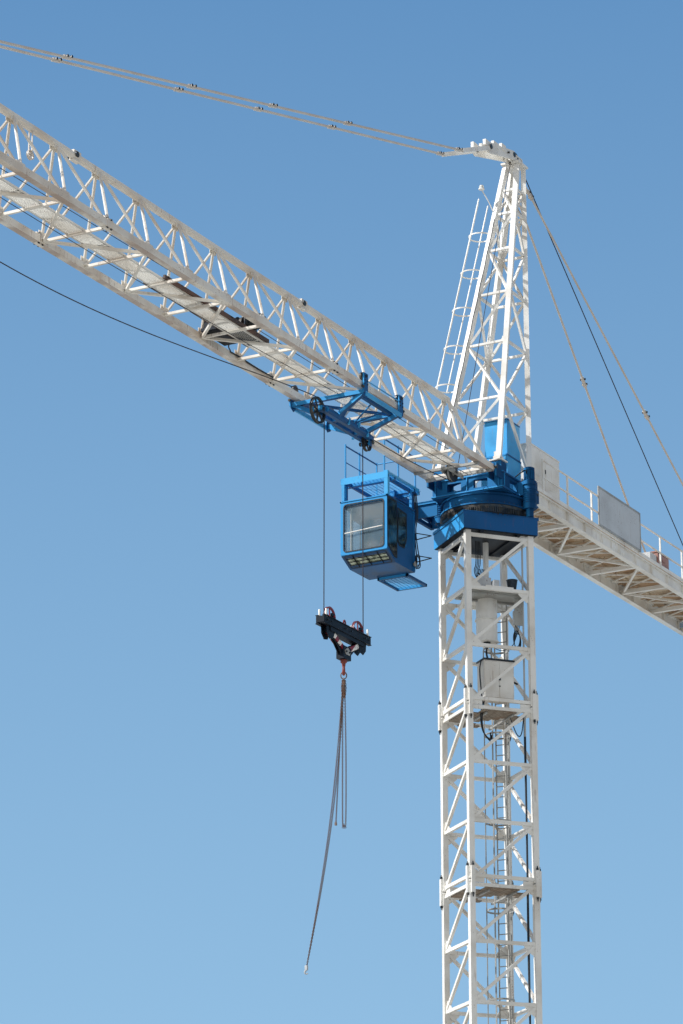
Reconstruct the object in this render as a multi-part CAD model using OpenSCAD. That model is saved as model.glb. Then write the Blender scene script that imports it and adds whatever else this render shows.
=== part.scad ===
// Tower crane with a trolley jib, built as a 1:2 scale model.
// Sizes are millimetres of the model, so twice as much on the real crane.
// +X along the jib, +Y to the operator's left, +Z up, origin on the ground at the mast axis.

/* [Mast] */
// Centre to centre of neighbouring legs
mast_width = 955; // [700:5:1200]
// Side of a square leg
leg_size = 80; // [50:1:120]
// Length of one mast section
section_length = 2500; // [1500:10:3000]
// Number of mast sections
mast_sections = 6; // [2:1:8]
// Panels in a section
section_panels = 3; // [2:1:4]
// Side of a diagonal brace
brace_size = 42; // [25:1:60]
// Height of a horizontal rail
rail_size = 46; // [25:1:60]
// Half the spacing of the two rails at a section joint
joint_rail_offset = 62; // [40:1:120]
// Turn of the mast's faces from the jib's direction, degrees
mast_turn = 49.4; // [0:0.1:90]
// Height of a bolt sleeve at a leg joint
sleeve_height = 370; // [100:5:500]
// Width of a bolt sleeve
sleeve_width = 56; // [20:1:80]
// How far a bolt sleeve stands out from the leg
sleeve_depth = 34; // [10:1:60]

/* [Base] */
// Height of the cross beams
beam_height = 400; // [200:5:600]
// Width of the cross beams
beam_width = 230; // [100:5:400]
// Length of each cross beam
beam_length = 3400; // [2000:10:5000]
// Height of the seats under the legs
seat_height = 64.7; // [20:0.1:120]
// Side of the seats under the legs
seat_size = 210; // [100:5:300]
// Distance of an anchor hole from the end of its beam
anchor_margin = 110; // [70:5:300]
// Radius of an anchor hole
anchor_hole = 16; // [6:0.5:30]
// Thickness of the anchor plates
anchor_plate = 30; // [10:1:60]

/* [Mast fittings] */
// Width of the ladder
ladder_width = 190; // [120:5:260]
// Distance between rungs
rung_pitch = 150; // [120:5:180]
// Radius of a safety hoop
hoop_radius = 190; // [150:5:240]
// Radius of the slip-ring column
column_radius = 150; // [80:5:200]
// Height of the slip-ring column
column_height = 640; // [300:10:900]
// Thickness of a rest platform
platform_thickness = 18; // [8:1:40]
// Radius of the power cable
cable_radius = 13; // [6:1:20]

/* [Slewing] */
// Side of the square collar
collar_size = 1130; // [900:5:1400]
// Height of the collar
collar_height = 260; // [150:5:400]
// Outer radius of the slewing ring
ring_radius = 645; // [500:5:800]
// Inner radius of the slewing ring
ring_bore = 540; // [400:5:700]
// Height of the slewing ring
ring_height = 120; // [60:5:200]
// Running gap of the slewing bearing
bearing_gap = 0.8; // [0.5:0.1:5]
// Radius of the turntable's drum
drum_radius = 600; // [450:5:760]
// Height of the turntable's drum
drum_height = 190; // [100:5:300]
// Side of the turntable's deck
deck_size = 1110; // [900:5:1400]
// Height of the turntable's deck
deck_height = 254; // [150:1:400]
// Thickness of the deck's side beams
deck_wall = 80; // [40:1:150]

/* [Tower head] */
// Half the distance between the feet along the jib
foot_x = 500; // [300:5:700]
// Half the distance between the feet across the jib
foot_y = 470; // [300:5:700]
// Height of the feet over the jib level
foot_level = 150; // [50:5:300]
// Height of the head's top over the jib level
head_top = 5400; // [3000:10:7000]
// How far the head's top stands behind the mast axis
head_rake = 1150; // [0:10:1600]
// Half the top's length along the jib
top_x = 105; // [50:5:300]
// Half the top's width across the jib
top_y = 95; // [50:5:300]
// Side of a head leg
head_leg = 76; // [40:1:120]
// Side of a head brace
head_brace = 34; // [20:1:60]
// Number of panels in the head
head_panels = 6; // [3:1:8]

/* [Jib] */
// Centre to centre of the bottom chords
jib_width = 955; // [700:5:1200]
// Height of the top chord over the bottom chords
jib_height = 970; // [600:5:1300]
// Length of one panel
jib_panel = 900; // [600:5:1200]
// Number of panels
jib_panels = 20; // [8:1:24]
// Distance of the root pins from the mast axis
root_x = 735; // [600:5:1000]
// Side of a bottom chord
chord_size = 90; // [50:1:140]
// Radius of the top chord
top_chord_radius = 46; // [30:1:80]
// Width of a lacing bar
lacing_size = 34; // [20:1:60]
// Width of the walkway
walkway_width = 250; // [150:5:400]
// Panels from the root to the pendants' lug
pendant_panels = 15; // [6:1:20]
// Radius of a pendant bar
pendant_radius = 15; // [8:1:30]
// Radius of the steel ropes
rope_radius = 8; // [4:0.5:16]

/* [Counter-jib] */
// Length of the counter-jib from its root
counter_length = 8800; // [4000:50:12000]
// Centre to centre of its beams
counter_width = 860; // [600:5:1200]
// Height of its beams
counter_beam = 180; // [100:5:300]
// Thickness of its floor
floor_thickness = 22; // [8:1:50]
// Height of its handrail
handrail_height = 540; // [400:5:700]
// Diameter of a handrail tube
handrail_size = 20; // [10:1:40]
// Number of counterweight slabs
weight_slabs = 4; // [1:1:6]
// Thickness of a counterweight slab
slab_thickness = 270; // [100:5:500]
// Height of a counterweight slab
slab_height = 1100; // [500:10:1800]
// Width of a counterweight slab
slab_width = 700; // [400:5:740]

/* [Cab] */
// Front of the cab from the mast axis
cab_front = 1745; // [1200:5:2500]
// Length of the cab
cab_length = 815; // [600:5:1200]
// Width of the cab
cab_width = 730; // [500:5:1000]
// Inner side of the cab from the jib's middle
cab_side = 650; // [600:5:1200]
// Height of the cab at its back
cab_height = 900; // [800:5:1300]
// Cab roof below the jib level
cab_drop = 525; // [300:5:900]
// Thickness of the cab's walls
cab_wall = 24; // [10:1:60]
// Thickness of the cab's glass
glass_thickness = 6; // [3:0.5:12]
// Height of the sloped front glass
chin_height = 125; // [100:5:300]
// Run of the sloped front glass
chin_depth = 250; // [100:5:400]

/* [Trolley and hook] */
// Trolley's distance from the mast axis at rest
trolley_x = 4080; // [2500:10:12000]
// Distance between the trolley's wheels
wheel_base = 980; // [600:10:1400]
// Radius of a trolley wheel
wheel_radius = 62; // [40:1:90]
// Radius of the outer sheave
big_sheave = 180; // [120:5:260]
// Radius of the inner sheave
small_sheave = 110; // [80:5:200]
// Height of the hook block's beam over the ground
block_level = 13050; // [4000:10:14500]
// Length of the hook block's beam
block_length = 1240; // [900:10:1800]
// Radius of the hook block's sheaves
block_sheave = 140; // [80:5:160]
// Sideways reach of the long sling at its lower end
sling_reach = 460; // [0:10:600]

/* [Hidden] */
$fn = 24;

seat = 0.3;
leg_base = beam_height + seat_height;
base_height = leg_base + seat;
mast_top = base_height + mast_sections * section_length;
collar_base = mast_top + seat;
ring_base = collar_base + collar_height + seat;
drum_base = ring_base + ring_height + bearing_gap;
deck_base = drum_base + drum_height;
jib_level = deck_base + deck_height;
panel_height = section_length / section_panels;
mast_panels = mast_sections * section_panels;
half_mast = mast_width / 2;
corner_reach = half_mast * sqrt(2);
half_jib = jib_width / 2;
anchor_circle = beam_length + 2 * anchor_margin;
ladder_bracket = 10 + half_mast - rail_size / 2 - seat - (520 + ladder_width / 2) / sqrt(2);
half_counter = counter_width / 2;
counter_root = -deck_size / 2 - 110;
counter_end = counter_root - counter_length;
slab_pitch = slab_thickness + 12;
rear_lug = [counter_end + 2165, counter_end + 60 + slab_pitch];
lug_top = jib_level + counter_beam / 2 + 79;
rail_y = half_counter + 28;
rail_pitch = (counter_length - 2100) / 8;
head_base = jib_level + foot_level;

// A straight bar of few sides between two points
module bar(a, b, w, sides = 4) {
    d = b - a;
    l = norm(d);
    translate(a)
        rotate([0, acos(d[2] / l), atan2(d[1], d[0])])
            rotate([0, 0, 180 / sides])
                cylinder(r = w / 2 / cos(180 / sides), h = l, $fn = sides);
}

// A box centred in plan, standing on z
module block(at, size) {
    translate([at[0] - size[0] / 2, at[1] - size[1] / 2, at[2]])
        cube(size);
}

// A wheel or pin whose axis lies along y
module disc_y(at, r, w) {
    translate([at[0], at[1] - w / 2, at[2]])
        rotate([-90, 0, 0])
            cylinder(r = r, h = w);
}

// A pin of few sides whose axis lies along y
module pin_y(at, r, w) {
    translate([at[0], at[1] - w / 2, at[2]])
        rotate([-90, 0, 0])
            rotate([0, 0, 7])
                cylinder(r = r, h = w, $fn = 10);
}

// A grooved sheave whose axis lies along y
module sheave_y(at, r, w, bore) {
    translate([at[0], at[1], at[2]])
        rotate([90, 0, 0])
            rotate_extrude()
                polygon([[bore, -w / 2], [r, -w / 2], [r - 0.22 * w, 0], [r, w / 2], [bore, w / 2]]);
}

// Places its children at the four corners of the mast
module mast_corners() {
    for (a = [0:90:270])
        rotate([0, 0, mast_turn + a])
            translate([half_mast, half_mast, 0])
                children();
}

module base_cross() {
    rotate([0, 0, mast_turn + 45])
        difference() {
            union() {
                for (a = [0, 90])
                    rotate([0, 0, a]) {
                        block([0, 0, 0], [beam_length, beam_width, beam_height]);
                        block([0, 0, 0], [anchor_circle + 200, beam_width + 90, anchor_plate]);
                    }
                for (a = [0:90:270])
                    rotate([0, 0, a])
                        block([corner_reach, 0, beam_height - 1], [seat_size, seat_size, seat_height + 1]);
            }
            for (a = [0:90:270])
                rotate([0, 0, a])
                    translate([anchor_circle / 2, 0, -1])
                        cylinder(r = anchor_hole, h = anchor_plate + 2);
        }
}

module mast_legs() {
    mast_corners()
        union() {
            block([0, 0, base_height], [leg_size, leg_size, mast_sections * section_length]);
            block([0, 0, base_height], [leg_size + 60, leg_size + 60, 22]);
            for (k = [1:mast_sections - 1]) {
                z = base_height + k * section_length - sleeve_height / 2;
                block([leg_size / 2 + sleeve_depth / 2 - 1, 0, z], [sleeve_depth + 2, sleeve_width, sleeve_height]);
                block([0, leg_size / 2 + sleeve_depth / 2 - 1, z], [sleeve_width, sleeve_depth + 2, sleeve_height]);
            }
        }
}

// One flat side of the mast in the plane y = half_mast
module mast_side() {
    inner = mast_width - leg_size - 2 * seat;
    intersection() {
        translate([-inner / 2, half_mast - 50, base_height + 30])
            cube([inner, 100, mast_sections * section_length - 32]);
        union() {
            for (k = [0:mast_panels - 1]) {
                z = base_height + k * panel_height;
                bar([half_mast, half_mast, z], [-half_mast, half_mast, z + panel_height], brace_size);
            }
            for (k = [0:mast_panels]) {
                z = base_height + k * panel_height;
                joint = k % section_panels == 0;
                for (s = joint ? [-1, 1] : [0])
                    bar([-half_mast, half_mast, z + s * joint_rail_offset],
                        [half_mast, half_mast, z + s * joint_rail_offset], rail_size);
            }
        }
    }
}

module mast_sides_a() {
    for (a = [0, 180])
        rotate([0, 0, mast_turn + a])
            mast_side();
}

module mast_sides_b() {
    for (a = [90, 270])
        rotate([0, 0, mast_turn + a])
            mast_side();
}

// Ladder with its hoops, standing inside the rear corner of the mast
module mast_ladder() {
    rotate([0, 0, mast_turn + 135])
        translate([520, 0, 0])
            union() {
                for (s = [-1, 1])
                    block([0, s * ladder_width / 2, base_height + 60], [20, 14, mast_top - base_height - 700]);
                for (z = [base_height + 160:rung_pitch:mast_top - 720])
                    bar([0, -ladder_width / 2, z], [0, ladder_width / 2, z], 12);
                for (k = [1:mast_sections * 2 - 1]) {
                    z = base_height + k * section_length / 2 - 260;
                    translate([-hoop_radius + 14, 0, z])
                        difference() {
                            cylinder(r = hoop_radius, h = 24, $fn = 12);
                            translate([0, 0, -1])
                                cylinder(r = hoop_radius - 8, h = 26, $fn = 12);
                        }
                }
                for (k = [1:mast_sections - 1])
                    for (s = [-1, 1])
                        translate([0, s * ladder_width / 2, base_height + k * section_length + joint_rail_offset - 12])
                            rotate([0, 0, s * 45])
                                translate([-10, -10, 0])
                                    cube([ladder_bracket, 20, 24]);
                for (a = [120, 180, 240])
                    translate([-hoop_radius + 14, 0, 0])
                        rotate([0, 0, a])
                            block([hoop_radius - 4, 0, base_height + section_length / 2 - 262], [14, 18, mast_top - base_height - section_length]);
            }
}

// Top face of the rest floor under section joint k
function floor_top(k) = base_height + k * section_length - joint_rail_offset - rail_size / 2 - seat;

// Rest floors hung under the lower rail of the section joints
module rest_platforms() {
    for (k = [1:mast_sections - 1])
        rotate([0, 0, mast_turn])
            translate([0, 0, floor_top(k) - platform_thickness])
                difference() {
                    block([0, 0, 0], [mast_width, mast_width, platform_thickness]);
                    for (a = [0:90:270])
                        rotate([0, 0, a])
                            translate([half_mast - 190, half_mast - 190, -1])
                                cube([300, 300, platform_thickness + 2]);
                    rotate([0, 0, 135])
                        translate([corner_reach - 600, -240, -1])
                            cube([500, 480, platform_thickness + 2]);
                }
}

module collector_column() {
    z = mast_top - panel_height;
    union() {
        translate([0, 0, z - column_height])
            cylinder(r = column_radius, h = column_height);
        rotate([0, 0, mast_turn])
            block([0, 0, z + rail_size / 2 + seat], [mast_width + 30, 420, 24]);
        translate([0, 0, z - 1])
            cylinder(r = 90, h = 60);
        translate([0, 0, z - 1])
            cylinder(r = 40, h = panel_height + collar_height);
    }
}

// Control cabinet on the highest rest floor
module mast_cabinet() {
    z = floor_top(mast_sections - 1) + seat;
    rotate([0, 0, mast_turn])
        translate([110, 20, z])
            union() {
                translate([0, 0, 200])
                    cube([250, 300, 560]);
                translate([-12, -12, 750])
                    cube([274, 324, 60]);
                for (y = [40, 230])
                    translate([110, y, 0])
                        cube([30, 30, 210]);
            }
}

module power_cable() {
    rotate([0, 0, mast_turn])
        union() {
            translate([half_mast - 110, half_mast - 75, base_height + 10])
                cylinder(r = cable_radius, h = mast_top - base_height - 40, $fn = 12);
            for (k = [1:mast_sections - 1])
                translate([half_mast - 110, half_mast - 75, base_height + k * section_length - joint_rail_offset - 12])
                    translate([-20, -16, 0])
                        cube([40, 67.7, 24]);
        }
}

module mast_collar() {
    rotate([0, 0, mast_turn])
        difference() {
            union() {
                block([0, 0, collar_base], [collar_size, collar_size, collar_height]);
                for (s = [-1, 1])
                    block([0, s * (collar_size / 2 + 6), collar_base + collar_height - 40], [collar_size + 24, 16, 40]);
            }
            block([0, 0, collar_base - 1], [700, 700, collar_height + 2]);
        }
}

module slewing_ring() {
    translate([0, 0, ring_base])
        difference() {
            cylinder(r = ring_radius, h = ring_height, $fn = 48);
            translate([0, 0, -1])
                cylinder(r = ring_bore, h = ring_height + 2, $fn = 48);
        }
}

module turntable() {
    cut = deck_size - 2 * deck_wall;
    difference() {
        union() {
            translate([0, 0, drum_base])
                cylinder(r = drum_radius, h = drum_height + 1, $fn = 48);
            block([0, 0, deck_base], [deck_size, deck_size, deck_height]);
            for (x = [-foot_x, foot_x])
                for (y = [-foot_y, foot_y])
                    block([x, y, jib_level - 1], [170, 170, foot_level + 1 - seat]);
            for (y = [-half_jib, half_jib])
                for (s = [-1, 1])
                    block([deck_size / 2 + 80, y + s * (chord_size / 2 + 18), jib_level - 120], [200, 26, 190]);
            for (y = [-half_counter, half_counter])
                for (s = [-1, 1])
                    block([-deck_size / 2 - 70, y + s * 70, jib_level - 120], [180, 26, 190]);
        }
        translate([0, 0, drum_base - 1])
            cylinder(r = drum_radius - 90, h = drum_height + deck_height - 30);
        block([0, 0, deck_base + deck_height - 40], [cut, cut, 60]);
        for (a = [0:90:270])
            rotate([0, 0, a])
                for (s = [-1, 1])
                    block([deck_size / 2, s * 210, deck_base + 70], [260, 220, 120]);
    }
}

// Slewing gear housings with their pinions, beside the ring's teeth
module slewing_gear() {
    r = ring_radius + 62;
    for (a = [90, -90])
        rotate([0, 0, a])
            translate([r, 0, 0])
                union() {
                    translate([0, 0, ring_base + 6])
                        cylinder(r = 55, h = ring_height);
                    translate([0, 0, drum_base + 4])
                        cylinder(r = 92, h = drum_height + deck_height - 80);
                    translate([0, 0, jib_level - 90])
                        cylinder(r = 104, h = 60);
                    translate([0, 0, jib_level - 40])
                        cylinder(r = 70, h = 190);
                    block([-r + deck_size / 2 + seat + 45, 0, deck_base + 20], [90, 150, 200]);
                }
}

module head_housing() {
    z = jib_level - 40 + seat;
    translate([-250, 140, z])
        union() {
            block([0, 0, 0], [440, 420, 480]);
            translate([-220, -210, 479])
                cube([440, 420, 20]);
            linear_extrude(height = 1040)
                polygon([[-220, -160], [190, -160], [190, 200], [-220, 200]]);
        }
}

// Corner of the tower head at height fraction t, for signs sx and sy
function head_corner(sx, sy, t) = [
    (1 - t) * sx * foot_x + t * (-head_rake + sx * top_x),
    (1 - t) * sy * foot_y + t * sy * top_y,
    head_base + t * (head_top - foot_level)];

module head_legs() {
    for (sx = [-1, 1])
        for (sy = [-1, 1])
            union() {
                bar(head_corner(sx, sy, 0.012), head_corner(sx, sy, 1), head_leg);
                block([sx * foot_x, sy * foot_y, head_base], [110, 110, 90]);
            }
}

// Height fraction of a level of the head's bracing
function head_level(k) = 0.02 + 0.9 * (1 - pow(1 - k / head_panels, 1.35));

// Bracing between two rows of corners, kept clear of the legs
module head_lacing(ax, ay, bx, by) {
    for (k = [0:head_panels]) {
        a = head_corner(ax, ay, head_level(k));
        b = head_corner(bx, by, head_level(k));
        u = (b - a) / norm(b - a);
        off = u * 22;
        if (k > 0)
            bar(a + off, b - off, head_brace);
        if (k < head_panels) {
            c = head_corner(bx, by, head_level(k + 1));
            d = head_corner(ax, ay, head_level(k + 1));
            if (k % 2 == 0)
                bar(a + off, c - off, head_brace);
            else
                bar(b - off, d + off, head_brace);
        }
    }
}

// The space that a leg of the head takes up
module leg_space(sx, sy) {
    bar(head_corner(sx, sy, -0.005), head_corner(sx, sy, 1.02), head_leg + 2 * seat);
    block([sx * foot_x, sy * foot_y, head_base - 1], [110 + 2 * seat, 110 + 2 * seat, 91 + seat]);
}

module head_side_lacing() {
    for (sy = [-1, 1])
        difference() {
            head_lacing(-1, sy, 1, sy);
            for (sx = [-1, 1])
                leg_space(sx, sy);
        }
}

module head_face_lacing() {
    for (sx = [-1, 1])
        difference() {
            head_lacing(sx, -1, sx, 1);
            for (sy = [-1, 1])
                leg_space(sx, sy);
        }
}

// Plates at the top that carry the pins of the pendants and the sheave
module head_apex() {
    z = jib_level + head_top;
    union() {
        difference() {
            block([-head_rake, 0, z + 45], [2 * top_x + 120, 2 * top_y + 110, 30]);
            block([-head_rake + 150, 0, z + 40], [100, 50, 40]);
            block([-head_rake - 150, 0, z + 40], [100, 50, 40]);
        }
        for (s = [-1, 1])
            block([-head_rake + 35, s * 34, z + 60], [2 * top_x + 220, 18, 150]);
        disc_y([-head_rake + 185, 0, z + 150], 26, 123.4);
        disc_y([-head_rake - 120, 0, z + 105], 26, 110);
        disc_y([-head_rake, 0, z + 160], apex_sheave, 34);
        disc_y([-head_rake, 0, z + 160], 14, 90);
    }
}

// Ladder with hoops on the head's right side, leaning with its front leg
module head_ladder() {
    for (k = [0:1]) {
        s = k == 0 ? 0.10 : 0.22;
        bar(ladder_point(s, 0.06), ladder_point(s, 0.90), 20);
    }
    for (t = [0.08:0.0275:0.90])
        bar(ladder_point(0.10, t), ladder_point(0.22, t), 14);
    for (t = [0.28:0.125:0.90]) {
        p = (ladder_point(0.10, t) + ladder_point(0.22, t)) / 2;
        translate([p[0] + 30, p[1] - 175, p[2]])
            difference() {
                cylinder(r = 180, h = 20);
                translate([0, 0, -1])
                    cylinder(r = 172, h = 22);
            }
    }
    for (a = [-150, -90, -30])
        bar(hoop_point(a, 0.28), hoop_point(a, 0.905), 14);
    lean = head_corner(1, -1, 1) - head_corner(1, -1, 0);
    for (t = [0.12:0.19:0.9])
        translate(head_corner(1, -1, t))
            rotate([0, 0, atan2(lean[1], lean[0])])
                translate([22, head_leg / 2 + seat, -12])
                    cube([44, 34, 24]);
}

function ladder_point(s, t) = let (a = head_corner(1, -1, t), b = head_corner(-1, -1, t))
    a + (b - a) / norm(b - a) * (60 + 1000 * (s - 0.1)) + [0, -58, 0];
function hoop_point(a, t) = let (p = (ladder_point(0.10, t) + ladder_point(0.22, t)) / 2)
    [p[0] + 30 + 176 * cos(a), p[1] - 175 + 176 * sin(a), p[2]];

apex_sheave = 84;
winch_x = counter_end + 1715;
winch_drum = 190;
winch_axis = jib_level + counter_beam / 2 + floor_thickness + 2 * seat + 280;
root_sheave_x = root_x + 295;
root_sheave_radius = 120;
link_end = [900, 150, jib_level + 4880];
link_start = [-head_rake + 185, 60, jib_level + head_top + 150];
lug_x = root_x + (pendant_panels + 0.5) * jib_panel;
lug_point = [lug_x, 51.9, jib_level + jib_height + 120];

// Long links that carry the pins of the jib pendants
module pendant_links() {
    for (s = [-1, 1])
        union() {
            hull() {
                disc_y([link_start[0], s * link_start[1] * 1.25, link_start[2]], 70, 26);
                disc_y([link_start[0] + 900, s * 115, link_start[2] - 235], 85, 26);
            }
            bar([link_start[0] + 860, s * 115, link_start[2] - 225], [link_end[0], s * link_end[1], link_end[2]], 60);
            disc_y([link_start[0] + 900, s * 115, link_start[2] - 235], 34, 60);
        }
}

// Two parallel pendant bars with pinned connectors
module jib_pendants() {
    for (s = [-1, 1]) {
        a = [link_end[0] + 2.75, s * link_end[1], link_end[2] - 0.87];
        b = [lug_point[0] - 30, s * lug_point[1], lug_point[2] + 8];
        union() {
            bar(a, b, 2 * pendant_radius, 6);
            for (t = [0.0073, 0.245, 0.39, 0.535, 0.735, 0.9921]) {
                p = a + (b - a) * t;
                u = (b - a) / norm(b - a);
                bar(p - u * 91, p + u * 89, 43);
                pin_y(p + u * 45, 17, 74);
                pin_y(p - u * 45, 17, 74);
            }
        }
    }
}

// Rear pendants whose forks stand over the lugs of the counter-jib's beams
module rear_pendants() {
    for (s = [-1, 1]) {
        x = rear_lug[s < 0 ? 0 : 1];
        a = [-head_rake - 150, s * 95, jib_level + head_top - 220];
        b = [x + 10, s * half_counter, lug_top + 60];
        union() {
            bar(a, b, 2 * pendant_radius, 6);
            block([x, s * half_counter, lug_top + seat], [70, 62, 70]);
            for (e = [-1, 1])
                block([x, s * half_counter + e * (13 + seat + 6), lug_top - 50], [64, 12, 80]);
            for (t = [0.02, s < 0 ? 0.45 : 0.5, 0.95]) {
                p = a + (b - a) * t;
                u = (b - a) / norm(b - a);
                bar(p - u * 91, p + u * 89, 43);
                pin_y(p + u * 45, 17, 74);
            }
        }
    }
}

// Hoist rope from the winch over the head's top and down to the jib's root
module hoist_rope() {
    lift = rope_radius + seat;
    top = [-head_rake, 0, jib_level + head_top + 160];
    drum = [winch_x, 0, winch_axis];
    root = [root_sheave_x, 0, jib_level - 90];
    ra = apex_sheave + lift;
    rd = winch_drum + lift;
    rr = root_sheave_radius + lift;
    n1 = tangent_normal(drum - top, ra - rd, -1);
    bar(top + ra * n1, drum + rd * n1, 2 * rope_radius, 6);
    n2 = tangent_normal(root - top, ra + rr, 1);
    bar(top + ra * n2, root - rr * n2, 2 * rope_radius, 6);
}

// Unit normal of a line that is tangent to two discs whose centres lie d apart in the xz plane
function tangent_normal(d, r, side) = let (a = atan2(d[2], d[0]) + side * acos(r / norm(d)))
    [cos(a), 0, sin(a)];

jib_end = root_x + jib_panels * jib_panel;

module jib_top_chord() {
    z = jib_level + jib_height;
    union() {
        bar([root_x + jib_panel / 2 - 40, 0, z], [jib_end - jib_panel / 2 + 40, 0, z], 2 * top_chord_radius, 8);
        block([lug_x - 90, 0, z + top_chord_radius - 14], [250, 30, 110]);
        for (k = [5, 11, 17])
            block([root_x + k * jib_panel + 40, 0, z - 62], [150, 70, 128]);
    }
}

module jib_bottom_chords() {
    for (s = [-1, 1])
        union() {
            translate([root_x + 25, s * half_jib - chord_size / 2, jib_level - chord_size / 2])
                cube([jib_end - root_x - 25, chord_size, chord_size]);
            block([root_x + 5, s * half_jib, jib_level - 36], [90, 40, 72]);
            disc_y([root_x - 5, s * half_jib, jib_level], 36, 40);
            disc_y([root_x - 5, s * half_jib, jib_level], 24, 99.4);
        }
}

module jib_side_lacing() {
    zt = jib_level + jib_height;
    zb = jib_level + chord_size / 2 + seat;
    for (s = [-1, 1])
        difference() {
            union() {
                for (k = [0:jib_panels - 1]) {
                    xt = root_x + (k + 0.5) * jib_panel;
                    xb = root_x + k * jib_panel;
                    for (e = [-1, 1])
                        bar([xt + e, s * 26, zt - 16], [xt + e * (jib_panel / 2 - 22), s * (half_jib - 24), zb - 22], lacing_size, 6);
                }
                for (k = [0:jib_panels])
                    block([root_x + k * jib_panel + (k == 0 ? 55 : k == jib_panels ? -55 : 0), s * (half_jib - 24), zb], [90, lacing_size, 22]);
            }
            bar([0, 0, zt], [jib_end + 100, 0, zt], 2 * (top_chord_radius + seat), 8);
            block([root_x + 9000, s * half_jib, jib_level - 200], [30000, chord_size + 20, 200 + chord_size / 2 + seat]);
        }
}

module jib_bottom_lacing() {
    w = half_jib - chord_size / 2 - seat;
    intersection() {
        translate([root_x, -w, jib_level - 60])
            cube([jib_end - root_x + 60, 2 * w, 120]);
        union()
            for (k = [0:jib_panels]) {
                x = root_x + 70 + k * (jib_panel - 5.5);
                s = k % 2 == 0 ? 1 : -1;
                bar([x, -half_jib, jib_level - 8], [x, half_jib, jib_level - 8], lacing_size);
                if (k < jib_panels)
                    bar([x, s * w, jib_level - 8], [x + jib_panel - 5.5, -s * w, jib_level - 8], lacing_size);
            }
    }
}

module jib_walkway() {
    z = jib_level - 8 + lacing_size / 2 + seat;
    start = root_x + 440;
    union() {
        translate([start, -walkway_width / 2, z])
            cube([jib_end - 150 - start, walkway_width, 10]);
        for (s = [-1, 1])
            translate([start, s * (walkway_width / 2 - 8) - 8, z])
                cube([jib_end - 150 - start, 16, 26]);
    }
}

// Trolley winch between the chords, with its drum across the jib
module trolley_winch() {
    x = 6750;
    z = jib_level - 8 + lacing_size / 2 + 10 + 2 * seat;
    union() {
        block([x, 0, z], [560, 200, 30]);
        for (s = [-1, 1])
            block([x, s * 90, z], [300, 16, 230]);
        disc_y([x, 0, z + 150], 95, 176);
        disc_y([x, 0, z + 150], 120, 40);
        disc_y([x, 130, z + 150], 70, 90);
    }
}

// End frame of the jib with its rope sheave
module jib_tip() {
    x = jib_end + seat;
    union() {
        translate([x, -half_jib - 40, jib_level - 50])
            cube([60, jib_width + 80, 110]);
        for (s = [-1, 1])
            bar([x + 30, s * (half_jib - 20), jib_level + 50], [x + 30, s * 60, jib_level + 620], 50);
        block([x + 30, 0, jib_level + 590], [60, 190, 60]);
        sheave_y([x + 120, 0, jib_level + 20], 80, 36, 12);
        disc_y([x + 120, 0, jib_level + 20], 14, 110);
        for (s = [-1, 1])
            block([x + 95, s * 45, jib_level - 20], [140, 16, 70]);
    }
}

// Root sheave that turns the hoist rope along the jib
module root_sheave() {
    x = root_sheave_x;
    z = jib_level - chord_size / 2 - seat;
    union() {
        disc_y([x, 0, jib_level - 90], root_sheave_radius, 34);
        disc_y([x, 0, jib_level - 90], 16, 150);
        for (s = [-1, 1]) {
            block([x - 15, s * 60, z - 70], [430, 18, 66]);
            block([x - 15 + s * 180, 0, z - 36], [40, jib_width + 60, 36]);
        }
    }
}

module counter_jib_beams() {
    for (s = [-1, 1])
        union() {
            translate([counter_root - counter_length, s * half_counter - 45, jib_level - counter_beam / 2])
                cube([counter_length, 90, 14]);
            translate([counter_root - counter_length, s * half_counter - 45, jib_level + counter_beam / 2 - 14])
                cube([counter_length, 90, 14]);
            translate([counter_root - counter_length, s * half_counter - 8, jib_level - counter_beam / 2])
                cube([counter_length, 16, counter_beam]);
            block([counter_root - 10, s * half_counter, jib_level - 60], [120, 50, 120]);
            disc_y([counter_root, s * half_counter, jib_level + 6], 26, 113.4);
            block([rear_lug[s < 0 ? 0 : 1], s * half_counter, lug_top - 80], [150, 26, 80]);
        }
    for (k = [0:6])
        translate([counter_root - 200 - k * (counter_length - 540) / 7, -half_counter, jib_level - 70])
            cube([60, counter_width, 60]);
}

module counter_jib_floor() {
    long = counter_length - 1600;
    difference() {
        block([counter_root - 50 - long / 2, 0, jib_level + counter_beam / 2 + seat], [long, counter_width + 80, floor_thickness]);
        block([rear_lug[0], -half_counter, jib_level], [160, 50, 200]);
    }
}

module counter_jib_railings() {
    z = jib_level + counter_beam / 2 + floor_thickness + 2 * seat;
    for (s = [-1, 1])
        union() {
            for (k = [0:8])
                block([counter_root - 300 - k * rail_pitch, s * rail_y, z], [24, 24, handrail_height]);
            for (h = [0.5, 1])
                bar([counter_root - 290, s * rail_y, z + h * (handrail_height - 12)],
                    [counter_root - 310 - 8 * rail_pitch, s * rail_y, z + h * (handrail_height - 12)], handrail_size);
        }
}

module sign_panel() {
    translate([-4350, rail_y + 12 + seat, jib_level + 170])
        cube([1500, 14, 600]);
}

module electrical_cabinet() {
    z = jib_level + counter_beam / 2 + floor_thickness + 2 * seat;
    translate([-1740, 60, z])
        union() {
            translate([0, 0, 90])
                cube([980, 300, 640]);
            for (x = [20, 920])
                for (y = [20, 240])
                    translate([x, y, 0])
                        cube([40, 40, 95]);
        }
}

module ballast_box() {
    z = jib_level + counter_beam / 2 + floor_thickness + 2 * seat;
    translate([-5650, 80, z])
        union() {
            cube([420, 300, 300]);
            translate([430, 20, 0])
                cube([240, 260, 240]);
            translate([400, 100, 0])
                cube([60, 60, 60]);
        }
}

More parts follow.
